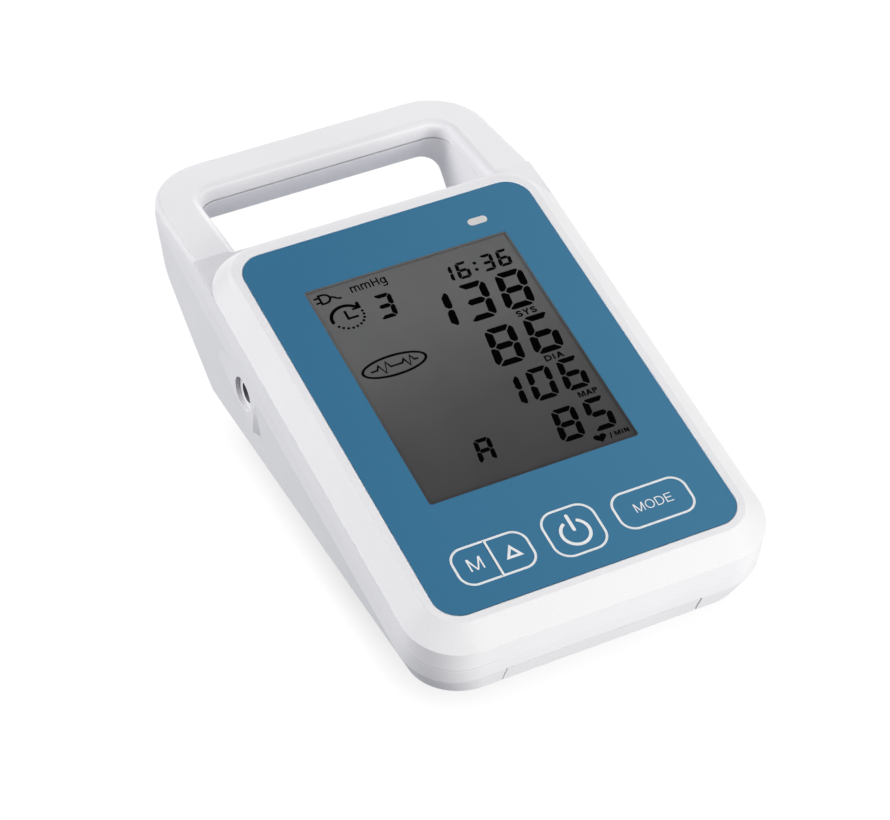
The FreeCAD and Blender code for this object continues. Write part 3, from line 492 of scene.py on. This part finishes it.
NODE_SLOT = {
    "upper_housing": "white_shell", "lower_housing": "white_lower", "battery_door": "white_lower",
    "panel_sheet": "blue_sheet", "memory_key": "blue_key", "up_key": "blue_key",
    "power_key": "blue_key", "mode_key": "blue_key", "display_window": "window",
    "liquid_crystal_display": "display", "display_backlight": "light_guide",
    "display_contact_strips": "elastomer", "display_holder_frame": "white_inner",
    "status_light_lens": "light_lens", "status_lamp": "light_lens", "key_switches": "black_inner",
    "memory_switch_plunger": "plunger", "up_switch_plunger": "plunger",
    "power_switch_plunger": "plunger", "mode_switch_plunger": "plunger",
    "main_circuit_board": "board", "board_chips": "black_inner", "buzzer": "black_inner",
    "board_screws": "screw_steel", "housing_screws": "screw_steel", "cuff_socket": "socket_plastic",
    "socket_gasket": "foot_rubber", "socket_tube": "silicone", "pump_tube": "silicone",
    "valve_tube": "silicone", "sensor_tube": "silicone", "air_manifold": "white_inner",
    "air_pump_head": "black_inner", "air_pump_motor": "motor_steel", "pump_cradle": "elastomer",
    "exhaust_valve": "motor_steel", "pressure_sensor": "black_inner", "adapter_jack": "black_inner",
    "adapter_jack_leads": "wire", "battery_leads": "wire", "battery_cells": "cell_jacket",
    "battery_springs": "spring_steel", "battery_contact_plates": "spring_steel",
    "rubber_feet": "foot_rubber",
}
for name, obj in NODES.items():
    mat = MAT[NODE_SLOT[name]]
    if not obj.material_slots:
        obj.data.materials.append(mat)
    for s in obj.material_slots:
        s.material = mat


# ------------------------------------------------------------------ flat artwork
def area2(loop):
    return sum(a[0] * b[1] - b[0] * a[1] for a, b in zip(loop, loop[1:] + loop[:1]))


def artwork(name, shapes, w0, w1, mat, body):
    """Thin printed shapes with real thickness: each shape is an outline followed by its holes."""
    verts, faces = [], []
    for shape in shapes:
        loops = []
        for i, loop in enumerate(shape):
            loop = [tuple(p) for p in loop]
            if (area2(loop) > 0) != (i == 0):
                loop.reverse()
            loops.append(loop)
        tris = tessellate_polygon([[Vector((x, y, 0.0)) for x, y in lp] for lp in loops])
        flat = [p for lp in loops for p in lp]
        n0, n = len(verts), len(flat)
        verts += [at(x, y, w1) for x, y in flat] + [at(x, y, w0) for x, y in flat]
        for a, b, c in tris:
            pa, pb, pc = flat[a], flat[b], flat[c]
            s = (pb[0] - pa[0]) * (pc[1] - pa[1]) - (pc[0] - pa[0]) * (pb[1] - pa[1])
            if s < 0:
                b, c = c, b
            faces.append((n0 + a, n0 + b, n0 + c))
            faces.append((n0 + n + a, n0 + n + c, n0 + n + b))
        k = 0
        for lp in loops:
            m = len(lp)
            for i in range(m):
                a, b = k + i, k + (i + 1) % m
                faces.append((n0 + a, n0 + n + a, n0 + n + b, n0 + b))
            k += m
    me = bpy.data.meshes.new(name)
    me.from_pydata([tuple(v) for v in verts], [], faces)
    me.materials.append(mat)
    me.validate()
    me.update()
    ob = bpy.data.objects.new(name, me)
    scene.collection.objects.link(ob)
    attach(ob, body)
    return ob


def round_off(loop, r):
    """Rounds the corners of a closed outline, starting r before each corner."""
    out, n = [], len(loop)
    for i in range(n):
        p, c, q = loop[i - 1], loop[i], loop[(i + 1) % n]
        ends = []
        for e in (p, q):
            d = math.hypot(e[0] - c[0], e[1] - c[1])
            k = min(r, 0.4 * d) / d
            ends.append((c[0] + (e[0] - c[0]) * k, c[1] + (e[1] - c[1]) * k))
        for t in (0.0, 0.33, 0.67, 1.0):
            out.append(tuple((1 - t) ** 2 * ends[0][j] + 2 * t * (1 - t) * c[j] + t * t * ends[1][j] for j in (0, 1)))
    return out


def grow(loop, d):
    """Moves a closed outline outwards by d, with mitred corners."""
    if area2(loop) < 0:
        loop = loop[::-1]
    out, n = [], len(loop)
    for i in range(n):
        p, c, q = loop[i - 1], loop[i], loop[(i + 1) % n]
        a, b = (c[0] - p[0], c[1] - p[1]), (q[0] - c[0], q[1] - c[1])
        la, lb = math.hypot(*a) or 1.0, math.hypot(*b) or 1.0
        nx, ny = a[1] / la + b[1] / lb, -a[0] / la - b[0] / lb
        k = 2.0 * d / max(0.8, nx * nx + ny * ny)
        out.append((c[0] + nx * k, c[1] + ny * k))
    return out


def round_rect(x0, x1, y0, y1, r, n=10):
    """r is one radius, or four: lower left, lower right, upper right, upper left."""
    r = [r] * 4 if isinstance(r, (int, float)) else list(r)
    pts = []
    for (cx, cy, sx, sy), rad, start in zip(((x0, y0, 1, 1), (x1, y0, -1, 1), (x1, y1, -1, -1), (x0, y1, 1, -1)),
                                            r, (180, 270, 0, 90)):
        mx, my = cx + sx * rad, cy + sy * rad
        steps = n if rad > 0.05 else 1
        for i in range(steps + 1):
            a = math.radians(start + 90 * i / steps)
            pts.append((mx + rad * math.cos(a), my + rad * math.sin(a)))
    return pts


def oval(cx, cy, rx, ry, n=40, turn=0.0):
    c, s = math.cos(turn), math.sin(turn)
    out = []
    for i in range(n):
        a = 2 * math.pi * i / n
        x, y = rx * math.cos(a), ry * math.sin(a)
        out.append((cx + c * x - s * y, cy + s * x + c * y))
    return out


def smooth_path(pts, n=8):
    """Open curve through the points."""
    p = [pts[0]] + list(pts) + [pts[-1]]
    out = []
    for i in range(1, len(p) - 2):
        for k in range(n):
            t = k / n
            q = []
            for d in (0, 1):
                a, b, c, e = p[i - 1][d], p[i][d], p[i + 1][d], p[i + 2][d]
                q.append(0.5 * (2 * b + (c - a) * t + (2 * a - 5 * b + 4 * c - e) * t * t
                                + (3 * b - a - 3 * c + e) * t ** 3))
            out.append(tuple(q))
    out.append(tuple(pts[-1]))
    return out


def stroke(pts, width):
    """Outline of a line of even width along an open path."""
    left, right = [], []
    h = width / 2
    for i, (x, y) in enumerate(pts):
        a = pts[max(0, i - 1)]
        b = pts[min(len(pts) - 1, i + 1)]
        dx, dy = b[0] - a[0], b[1] - a[1]
        d = math.hypot(dx, dy) or 1.0
        k = 1.0
        if 0 < i < len(pts) - 1:
            e0 = (x - a[0], y - a[1])
            l0 = math.hypot(*e0) or 1.0
            cosn = abs((e0[0] * dx + e0[1] * dy) / (l0 * d))
            k = 1.0 / max(0.5, cosn)
        nx, ny = -dy / d * h * k, dx / d * h * k
        left.append((x + nx, y + ny))
        right.append((x - nx, y - ny))
    return left + right[::-1]


# ------------------------------------------------------------------ display segments
SEG = {
    "a": [(1.20, 15.63), (1.67, 16.13), (8.12, 16.11), (8.85, 15.63), (7.54, 13.79), (3.24, 13.79)],
    "b": [(7.76, 13.18), (9.09, 15.08), (9.77, 14.88), (10.27, 13.93), (10.51, 9.33), (10.11, 8.38),
          (9.01, 8.35), (7.875, 9.53)],
    "c": [(7.93, 6.68), (8.73, 7.63), (9.86, 7.73), (10.44, 6.93), (10.55, 2.53), (10.35, 1.28),
          (9.76, 0.88), (7.84, 2.58)],
    "d": [(1.41, 0.58), (1.97, 0.18), (2.75, 0.0), (8.75, 0.0), (9.31, 0.28), (9.30, 0.63), (7.33, 2.30),
          (3.23, 2.30)],
    "e": [(0.0, 7.23), (0.40, 7.83), (1.25, 7.83), (2.68, 6.68), (2.79, 2.88), (1.07, 1.13), (0.48, 1.38),
          (-0.03, 2.53)],
    "f": [(0.22, 14.88), (0.77, 15.18), (2.735, 13.53), (2.79, 9.73), (1.74, 8.48), (0.69, 8.48),
          (0.14, 9.13), (0.15, 13.73)],
    "g": [(2.01, 8.08), (3.01, 9.30), (7.21, 9.30), (8.46, 8.08), (7.41, 6.83), (3.01, 6.83)],
}
LIT = {"0": "abcdef", "1": "bc", "3": "abcdg", "5": "acdfg", "6": "acdefg", "8": "abcdefg", "A": "abcefg"}
LEAN = 0.16


def segments(char, x0, y0, sx, sy):
    out = []
    for s in LIT[char]:
        loop = grow([(x0 + sx * x + LEAN * sy * y, y0 + sy * y) for x, y in SEG[s]], 0.03 if sx > 0.7 else 0.055)
        out.append([round_off(loop, 0.22 * sx)])
    return out


digits = []
for ch, x in (("1", -5.92), ("3", 7.80), ("8", 21.81)):
    digits += segments(ch, x, 25.60, 1.0, 1.0)
for ch, x in (("8", 7.76), ("6", 21.81)):
    digits += segments(ch, x, 5.02, 1.0, 1.0)
for ch, x in (("1", 1.76), ("0", 12.91), ("6", 24.16)):
    digits += segments(ch, x, -12.39, 0.8185, 0.8185)
for ch, x in (("8", 12.89), ("5", 24.20)):
    digits += segments(ch, x, -30.59, 0.8185, 0.8185)
for ch, x in (("1", 7.28), ("6", 13.35), ("3", 22.41), ("6", 28.43)):
    digits += segments(ch, x, 43.985, 0.436, 0.44)
digits += [[oval(21.077, 48.892, 0.66, 0.66, 20)], [oval(20.587, 46.062, 0.66, 0.66, 20)]]
digits += segments("3", -18.605, 37.80, 0.6244, 0.64)
digits += segments("A", -14.905, -28.362, 0.567, 0.592)

LCD_TOP = -0.55
artwork("display_digits", digits, LCD_TOP - 0.004, LCD_TOP + 0.02, INK_LCD, "housing")


# ------------------------------------------------------------------ small lettering
def arc_pts(cx, cy, rx, ry, a0, a1, n=10):
    return [(cx + rx * math.cos(math.radians(a0 + (a1 - a0) * i / n)),
             cy + ry * math.sin(math.radians(a0 + (a1 - a0) * i / n))) for i in range(n + 1)]


def letter(ch, x, y, w, h, t):
    """Plain upright letter in a box w by h with strokes t wide, as outlines and holes."""
    if ch == "I":
        s = [[[(0, 0), (t, 0), (t, h), (0, h)]]]
    elif ch == "H":
        m = h * 0.5
        s = [[[(0, 0), (t, 0), (t, m - t / 2), (w - t, m - t / 2), (w - t, 0), (w, 0), (w, h), (w - t, h),
               (w - t, m + t / 2), (t, m + t / 2), (t, h), (0, h)]]]
    elif ch == "E":
        m = h * 0.52
        s = [[[(0, 0), (w, 0), (w, t), (t, t), (t, m - t / 2), (w * 0.92, m - t / 2), (w * 0.92, m + t / 2),
               (t, m + t / 2), (t, h - t), (w, h - t), (w, h), (0, h)]]]
    elif ch == "M":
        c = w / 2
        s = [[[(0, 0), (t, 0), (t, h * 0.74), (c - t * 0.5, 0), (c + t * 0.5, 0), (w - t, h * 0.74), (w - t, 0),
               (w, 0), (w, h), (w - t * 1.35, h), (c, t * 1.25), (t * 1.35, h), (0, h)]]]
    elif ch == "N":
        s = [[[(0, 0), (t, 0), (t, h - t * 1.8), (w - t * 1.15, 0), (w, 0), (w, h), (w - t, h), (w - t, t * 1.8),
               (t * 1.15, h), (0, h)]]]
    elif ch == "A":
        c, k = w / 2, 1.12 * t
        top = h - 1.7 * t
        inner = lambda yy: k + (c - k) * yy / top
        b0, b1 = h * 0.22, h * 0.22 + t * 0.85
        s = [[[(0, 0), (k, 0), (inner(b0), b0), (w - inner(b0), b0), (w - k, 0), (w, 0), (c + 0.62 * t, h),
               (c - 0.62 * t, h)],
              [(inner(b1), b1), (w - inner(b1), b1), (c, top)]]]
    elif ch == "Y":
        c, k = w / 2, h * 0.42
        s = [[[(c - t / 2, 0), (c + t / 2, 0), (c + t / 2, k), (w, h), (w - 1.2 * t, h), (c, k + 0.9 * t),
               (1.2 * t, h), (0, h), (c - t / 2, k)]]]
    elif ch == "D":
        b = w * 0.42
        s = [[[(0, 0)] + arc_pts(b, h / 2, w - b, h / 2, -90, 90, 14) + [(0, h)],
              [(t, t)] + arc_pts(b, h / 2, w - b - t, h / 2 - t, -90, 90, 14) + [(t, h - t)]]]
    elif ch == "P":
        b, m = w * 0.52, h * 0.40
        r = (h - m) / 2
        s = [[[(0, 0), (t, 0), (t, m)] + arc_pts(b, m + r, w - b, r, -90, 90, 12) + [(0, h)],
              [(t, m + t)] + arc_pts(b, m + r, w - b - t, r - t, -90, 90, 12) + [(t, h - t)]]]
    elif ch == "O":
        s = [[oval(w / 2, h / 2, w / 2, h / 2, 36), oval(w / 2, h / 2, w / 2 - t, h / 2 - t, 36)]]
    elif ch == "S":
        sk = [(0.95, 0.80), (0.78, 0.96), (0.5, 1.0), (0.22, 0.96), (0.06, 0.78), (0.2, 0.60), (0.5, 0.51),
              (0.82, 0.40), (0.95, 0.22), (0.78, 0.04), (0.5, 0.0), (0.2, 0.04), (0.04, 0.22)]
        pts = [(t / 2 + a * (w - t), t / 2 + b * (h - t)) for a, b in sk]
        s = [[stroke(smooth_path(pts, 5), t)]]
    elif ch == "m":
        c = w / 2
        s = [[[(0, 0), (t, 0), (t, h - 1.6 * t), (1.9 * t, h - t), (c - 0.85 * t, h - t), (c - 0.5 * t, h - 1.3 * t),
               (c - 0.5 * t, 0), (c + 0.5 * t, 0), (c + 0.5 * t, h - 1.6 * t), (c + 1.3 * t, h - t),
               (w - 1.35 * t, h - t), (w - t, h - 1.3 * t), (w - t, 0), (w, 0), (w, h - t), (w - 0.4 * t, h - 0.3 * t),
               (w - 1.2 * t, h), (c + 1.5 * t, h), (c + 0.9 * t, h - 0.1 * t), (c + 0.45 * t, h - 0.5 * t),
               (c + 0.1 * t, h - 0.2 * t), (c - 0.4 * t, h), (2.1 * t, h), (1.5 * t, h - 0.05 * t),
               (t, h - 0.4 * t), (t, h), (0, h)]]]
    elif ch == "g":
        s = [[oval(w / 2 - 0.1 * t, h / 2, w / 2 - 0.1 * t, h / 2, 30), oval(w / 2 - 0.1 * t, h / 2, w / 2 - 1.05 * t, h / 2 - t, 30)],
             [stroke([(w - t / 2, h)] + smooth_path([(w - t / 2, h * 0.2), (w - t / 2, -0.14 * h), (w - 0.9 * t, -0.32 * h),
                                                      (w * 0.5, -0.37 * h), (0.1 * w, -0.33 * h)], 5), t)]]
    else:
        s = []
    return [[[(x + a, y + b) for a, b in lp] for lp in shp] for shp in s]


def word(text, x0, x1, y0, h, t, widths, gap):
    """Sets letters between x0 and x1."""
    total = sum(widths) + gap * (len(text) - 1)
    k = (x1 - x0) / total
    out, x = [], x0
    for ch, w in zip(text, widths):
        out += letter(ch, x, y0, w * k, h, t)
        x += (w + gap) * k
    return out


labels = []
labels += word("SYS", 24.15, 31.6, 22.68, 2.62, 0.59, (2.2, 2.4, 2.2), 0.25)
labels += word("DIA", 24.1, 30.85, 2.25, 2.42, 0.56, (2.4, 0.56, 2.5), 0.55)
labels += word("MAP", 27.15, 34.15, -15.3, 2.22, 0.54, (2.6, 2.3, 1.9), 0.28)
labels += word("MIN", 30.6, 35.75, -33.55, 1.78, 0.47, (2.2, 0.52, 1.7), 0.45)
labels += letter("m", -21.75, 52.72, 3.25, 2.6, 0.50)
labels += letter("m", -17.95, 52.72, 3.25, 2.6, 0.50)
labels += letter("H", -14.05, 52.72, 2.5, 3.35, 0.50)
labels += letter("g", -11.0, 52.72, 2.1, 2.6, 0.50)
labels += [[[(28.62, -33.95), (29.08, -33.95), (29.75, -31.7), (29.3, -31.7)]]]

# ------------------------------------------------------------------ display icons
icons = []
# mains plug with a short lead
icons += [[round_rect(-34.75, -33.05, 54.32, 55.06, 0.25, 5)], [round_rect(-34.75, -33.05, 52.3, 53.04, 0.25, 5)]]
icons += [[[(-33.2, 51.5)] + arc_pts(-31.6, 53.72, 2.62, 2.26, -90, 90, 18) + [(-33.2, 55.98)],
           [(-32.42, 52.28)] + arc_pts(-31.6, 53.72, 1.84, 1.48, -90, 90, 18) + [(-32.42, 55.2)]]]
icons += [[stroke(smooth_path([(-29.05, 53.85), (-28.2, 53.45), (-27.4, 52.75), (-26.7, 52.35), (-25.75, 52.18)], 6), 0.76)]]
# timer: solid sweep with an arrow, dotted remainder, two hands
TCX, TCY, TRX, TRY = -27.45, 43.82, 5.45, 4.86
icons += [[arc_pts(TCX, TCY, TRX + 0.6, TRY + 0.58, 193, 44, 40) + arc_pts(TCX, TCY, TRX - 0.6, TRY - 0.58, 44, 193, 40)]]
icons += [[[(-22.78, 48.72), (-21.72, 48.76), (-21.66, 45.92), (-24.9, 45.92), (-24.9, 46.55), (-23.82, 46.78),
            (-23.35, 47.35), (-22.95, 47.75)]]]
for du, dv in ((-31.87, 41.08), (-30.7, 40.02), (-29.27, 39.33), (-27.63, 38.97), (-26.1, 39.15), (-24.48, 39.72),
               (-23.2, 40.62), (-22.35, 41.86), (-21.9, 43.28), (-21.9, 44.62)):
    a = math.atan2((dv - TCY) / TRY, (du - TCX) / TRX)
    icons += [[oval(du, dv, 0.5, 0.5, 14, a)]]
icons += [[[(-27.92, 42.62), (-23.82, 42.62), (-23.82, 43.46), (-27.04, 43.46), (-27.04, 46.62), (-27.92, 46.62)]]]
# heart
heart = []
for i in range(48):
    a = 2 * math.pi * i / 48
    hx = 16 * math.sin(a) ** 3
    hy = 13 * math.cos(a) - 5 * math.cos(2 * a) - 2 * math.cos(3 * a) - math.cos(4 * a)
    heart.append((25.57 + hx * 2.25 / 16, -32.42 + hy * 1.72 / 14.5))
icons += [[heart]]
# irregular pulse sign: plain oval ring with a beat trace
icons += [[oval(-22.15, 19.7, 11.6, 4.4, 64), oval(-22.15, 19.7, 10.65, 3.5, 64)]]
beat = [(-30.6, 19.5), (-28.3, 19.5), (-27.3, 21.2), (-25.9, 17.4), (-24.5, 21.9), (-23.5, 19.5), (-19.4, 19.5),
        (-18.4, 20.9), (-17.2, 17.7), (-16.0, 21.6), (-15.1, 19.5), (-13.7, 19.5)]
BEAT_T = 0.66
top, low = [], []
for i, (x, y) in enumerate(beat):
    # mitred offset on both sides of the trace
    a, c = beat[max(0, i - 1)], beat[min(len(beat) - 1, i + 1)]
    d0 = (x - a[0], y - a[1]) if i else (c[0] - x, c[1] - y)
    d1 = (c[0] - x, c[1] - y) if i < len(beat) - 1 else d0
    n0 = (-d0[1] / math.hypot(*d0), d0[0] / math.hypot(*d0))
    n1 = (-d1[1] / math.hypot(*d1), d1[0] / math.hypot(*d1))
    mx_, my_ = n0[0] + n1[0], n0[1] + n1[1]
    k = BEAT_T / 2 * 2.0 / max(0.9, mx_ * mx_ + my_ * my_)
    top.append((x + mx_ * k, y + my_ * k))
    low.append((x - mx_ * k, y - my_ * k))
icons += [[top + low[::-1]]]


def moved(shapes, du, dv):
    return [[[(x + du, y + dv) for x, y in lp] for lp in shp] for shp in shapes]


artwork("display_labels", moved(labels, -0.393, -0.638), LCD_TOP - 0.004, LCD_TOP + 0.02, INK_LCD, "housing")
artwork("display_icons", moved(icons, -0.393, -0.638), LCD_TOP - 0.004, LCD_TOP + 0.022, INK_LCD, "housing")

# grey printed edge of the window, and the band under it over the gap round the glass
artwork("window_border_print", [[round_rect(-36.97, 36.97, -36.94, 57.68, 0.95, 8),
                                 round_rect(-36.74, 36.74, -36.71, 57.45, 0.85, 8)]],
        -0.44, -0.125, INK_EDGE, "housing")
artwork("window_under_print", [[round_rect(-36.97, 36.97, -36.94, 57.68, 0.95, 8),
                                round_rect(-36.44, 36.44, -36.41, 57.15, 0.7, 8)]],
        -0.449, -0.441, INK_EDGE, "housing")

# ------------------------------------------------------------------ printing on the keys
KT = -0.10
LINE = 0.55
RING0, RING1 = -0.02, 0.24
K0, K1, KV0, KV1, KR = 14.95, 41.1, -70.15, -55.62, 5.0
IN = 0.04
SPLIT = -28.33
# the line round the left key is open at the side of its neighbour
mem_out = [(SPLIT - 0.07 - IN, KV1 - IN)] + round_rect(-K1 + IN, 0, KV0 + IN, KV1 - IN, (KR, 0, 0, KR), 12)[-13:] \
    + round_rect(-K1 + IN, 0, KV0 + IN, KV1 - IN, (KR, 0, 0, KR), 12)[:13] + [(SPLIT - 0.07 - IN, KV0 + IN)]
mem_in = [(SPLIT - 0.07 - IN, KV0 + LINE)] \
    + round_rect(-K1 + LINE, 0, KV0 + LINE, KV1 - LINE, (KR - LINE, 0, 0, KR - LINE), 12)[:13][::-1] \
    + round_rect(-K1 + LINE, 0, KV0 + LINE, KV1 - LINE, (KR - LINE, 0, 0, KR - LINE), 12)[-13:][::-1] \
    + [(SPLIT - 0.07 - IN, KV1 - LINE)]
memory_art = [[mem_out + mem_in]]
memory_art += letter("M", -36.5, -65.08, 4.75, 4.82, 0.50)
artwork("memory_key_print", memory_art, KT - 0.01, KT + 0.02, INK_WHITE, "memory_key")

up_art = [[round_rect(SPLIT + 0.07 + IN, -K0 - IN, KV0 + IN, KV1 - IN, (0, KR, KR, 0), 12),
           round_rect(-27.475, -K0 - LINE, KV0 + LINE, KV1 - LINE, (0.25, KR - LINE, KR - LINE, 0.25), 12)]]
up_art += [[[(-24.42, -65.1), (-18.5, -65.1), (-21.46, -60.02)], [(-22.85, -64.17), (-20.07, -64.17), (-21.46, -61.82)]]]
artwork("up_key_print", up_art, KT - 0.01, KT + 0.02, INK_WHITE, "up_key")

mode_art = [[round_rect(K0 + IN, K1 - IN, KV0 + IN, KV1 - IN, KR, 12),
             round_rect(K0 + LINE, K1 - LINE, KV0 + LINE, KV1 - LINE, KR - LINE, 12)]]
mode_art += letter("M", 21.55, -64.45, 3.25, 3.4, 0.33)
mode_art += letter("O", 25.4, -64.5, 3.1, 3.5, 0.34)
mode_art += letter("D", 29.1, -64.45, 2.75, 3.4, 0.34)
mode_art += letter("E", 32.45, -64.45, 2.4, 3.4, 0.34)
artwork("mode_key_print", mode_art, KT - 0.01, KT + 0.02, INK_WHITE, "mode_key")

P0, P1, PV0, PV1, PR = -9.08, 9.2, -71.93, -53.79, 5.5
PCX, PCY = 0.22, -63.7
power_art = [[round_rect(P0 + IN, P1 - IN, PV0 + IN, PV1 - IN, PR, 12),
              round_rect(P0 + LINE, P1 - LINE, PV0 + LINE, PV1 - LINE, PR - LINE, 12)]]
power_art += [[arc_pts(PCX, PCY, 5.25, 5.25, 117, 423, 60) + arc_pts(PCX, PCY, 4.15, 4.15, 423, 117, 60)]]
power_art += [[round_rect(PCX - 0.57, PCX + 0.57, -63.2, -56.4, 0.55, 8)]]
artwork("power_key_print", power_art, KT - 0.01, KT + 0.02, INK_WHITE, "power_key")

# the white line round each key also runs on the sheet, as a foil lip over the fine gap
surround = []
for u0, u1, v0, v1, r in ((-K1, -K0, KV0, KV1, KR), (K0, K1, KV0, KV1, KR), (P0, P1, PV0, PV1, PR)):
    surround += [[round_rect(u0 - RING1, u1 + RING1, v0 - RING1, v1 + RING1, r + RING1, 12),
                  round_rect(u0 - RING0, u1 + RING0, v0 - RING0, v1 + RING0, r + RING0, 12)]]
artwork("key_surround_print", surround, KT + 0.004, KT + 0.024, INK_WHITE, "housing")


# ------------------------------------------------------------------ floor, light, camera
def floor_material():
    """Pale studio paper that glows evenly, with a painted contact shadow: the glow is dimmed by ambient occlusion near
    the object.
    """
    m = Tree("floor_paper")
    n = m.noise(0.9, 4.0, 0.6)
    slow = m.noise(0.004, 2.0, 0.5)
    col = m.mix(m.ramp(slow, [(0.3, (0.028, 0.028, 0.028)), (0.7, (0.032, 0.032, 0.032))]),
                m.ramp(n, [(0.3, (0.985, 0.985, 0.985)), (0.7, (1, 1, 1))]), 1.0, "MULTIPLY")
    near = m.new("ShaderNodeAmbientOcclusion", samples=24)
    near.inputs["Distance"].default_value = 0.0095
    sep = m.new("ShaderNodeSeparateXYZ")
    m.link(m.mm, sep.inputs[0])
    # painted shadow strength: most on the left side, less to the right, at the very front and towards the rear, none
    # behind
    side = m.range(sep.outputs["X"], -60.0, 55.0, FLOOR_SHADE[0], FLOOR_SHADE[1])
    side = m.math("MULTIPLY", side, m.range(sep.outputs["Y"], -122.0, -50.0, 0.22, 1.0))
    side = m.math("MULTIPLY", side, m.range(sep.outputs["Y"], -70.0, 40.0, 1.0, 0.6))
    side = m.math("MULTIPLY", side, m.range(sep.outputs["Y"], 32.0, 56.0, 1.0, 0.0))
    hidden = m.math("SUBTRACT", 1.0, near.outputs["AO"])
    glow = m.math("SUBTRACT", 1.0, m.math("MULTIPLY", hidden, side))
    p = m.principled(col, m.range(n, 0.3, 0.7, 0.75, 0.9), m.bump(n, 0.05, 0.05), Specular_IOR_Level=0.0,
                     Emission_Strength=1.0)
    m.link(m.mix((0.0, 0.0, 0.0), (1.0, 1.0, 1.0), glow), p.inputs["Emission Color"])
    m.mat.cycles.emission_sampling = "NONE"
    return m.mat


FLOOR_SHADE = (0.44, 0.10)
bm = bmesh.new()
bmesh.ops.create_grid(bm, x_segments=8, y_segments=8, size=4.0)
me = bpy.data.meshes.new("floor")
bm.to_mesh(me)
bm.free()
me.materials.append(floor_material())
floor = bpy.data.objects.new("floor", me)
scene.collection.objects.link(floor)
floor.visible_diffuse = False
floor.visible_glossy = False
floor.visible_shadow = False


def softbox(name, place, aim, size, power, colour=(1, 1, 1)):
    d = bpy.data.lights.new(name, "AREA")
    d.shape = "RECTANGLE"
    d.size, d.size_y = size
    d.energy = power
    d.color = colour
    o = bpy.data.objects.new(name, d)
    o.location = place
    o.rotation_euler = (Vector(aim) - Vector(place)).to_track_quat("-Z", "Y").to_euler()
    scene.collection.objects.link(o)
    return o


def around(name, azimuth, elevation, size, power, colour):
    """Softbox on a circle round the object, 1.8 m from it."""
    a, e = math.radians(azimuth), math.radians(elevation)
    d = 1.8
    place = (d * math.cos(e) * math.cos(a), d * math.cos(e) * math.sin(a), 0.04 + d * math.sin(e))
    return softbox(name, place, (0, 0, 0.04), size, power, colour)


around("front_right_low", 300, 10, (0.9, 0.55), 25.4, (1.0, 0.967, 0.883))
around("front_right_high", 300, 28, (0.9, 0.9), 6.9, (0.806, 0.929, 1.0))
around("left_rear", 150, 28, (0.9, 0.9), 15.2, (0.992, 1.0, 0.928))
around("left_rear_high", 150, 50, (0.9, 0.9), 12.6, (0.925, 0.937, 1.0))
around("right_rear", 30, 28, (0.9, 0.9), 12.3, (1.0, 0.968, 0.968))
around("right_rear_low", 60, 10, (0.9, 0.55), 11.8, (0.973, 1.0, 0.919))
around("front_left_fill", 240, 10, (0.9, 0.55), 3.2, (1.0, 0.988, 0.997))
around("left_fill", 180, 28, (0.9, 0.9), 3.4, (1.0, 0.99, 0.96))

# dim room above, pale surround below
world = bpy.data.worlds.new("studio")
scene.world = world
world.use_nodes = True
wt = world.node_tree
tc = wt.nodes.new("ShaderNodeTexCoord")
sep = wt.nodes.new("ShaderNodeSeparateXYZ")
mr = wt.nodes.new("ShaderNodeMapRange")
mr.inputs["From Min"].default_value, mr.inputs["From Max"].default_value = -0.04, 0.04
mx = wt.nodes.new("ShaderNodeMix")
mx.data_type = "RGBA"
mx.inputs[6].default_value = (0.428, 0.446, 0.482, 1)
mx.inputs[7].default_value = (0.006, 0.006, 0.007, 1)
wt.links.new(tc.outputs["Generated"], sep.inputs[0])
wt.links.new(sep.outputs["Z"], mr.inputs["Value"])
wt.links.new(mr.outputs["Result"], mx.inputs[0])
wt.links.new(mx.outputs[2], wt.nodes["Background"].inputs["Color"])
wt.nodes["Background"].inputs["Strength"].default_value = 1.0

cam = bpy.data.cameras.new("camera")
cam.sensor_fit = "HORIZONTAL"
cam.sensor_width = 36.0
cam.lens = 126.28
cam.clip_start, cam.clip_end = 0.05, 30.0
camera = bpy.data.objects.new("camera", cam)
right = Vector((0.89516, -0.44559, -0.01132))
up = Vector((0.29329, 0.56967, 0.76776))
fwd = Vector((0.33566, 0.69060, -0.64063))
M = Matrix.Identity(4)
for i in range(3):
    M[i][0], M[i][1], M[i][2] = right[i], up[i], -fwd[i]
M.translation = Vector((-0.3490, -0.71704, 0.68223))
camera.matrix_world = M
scene.collection.objects.link(camera)
scene.camera = camera

scene.view_settings.view_transform = "Standard"
scene.view_settings.look = "None"
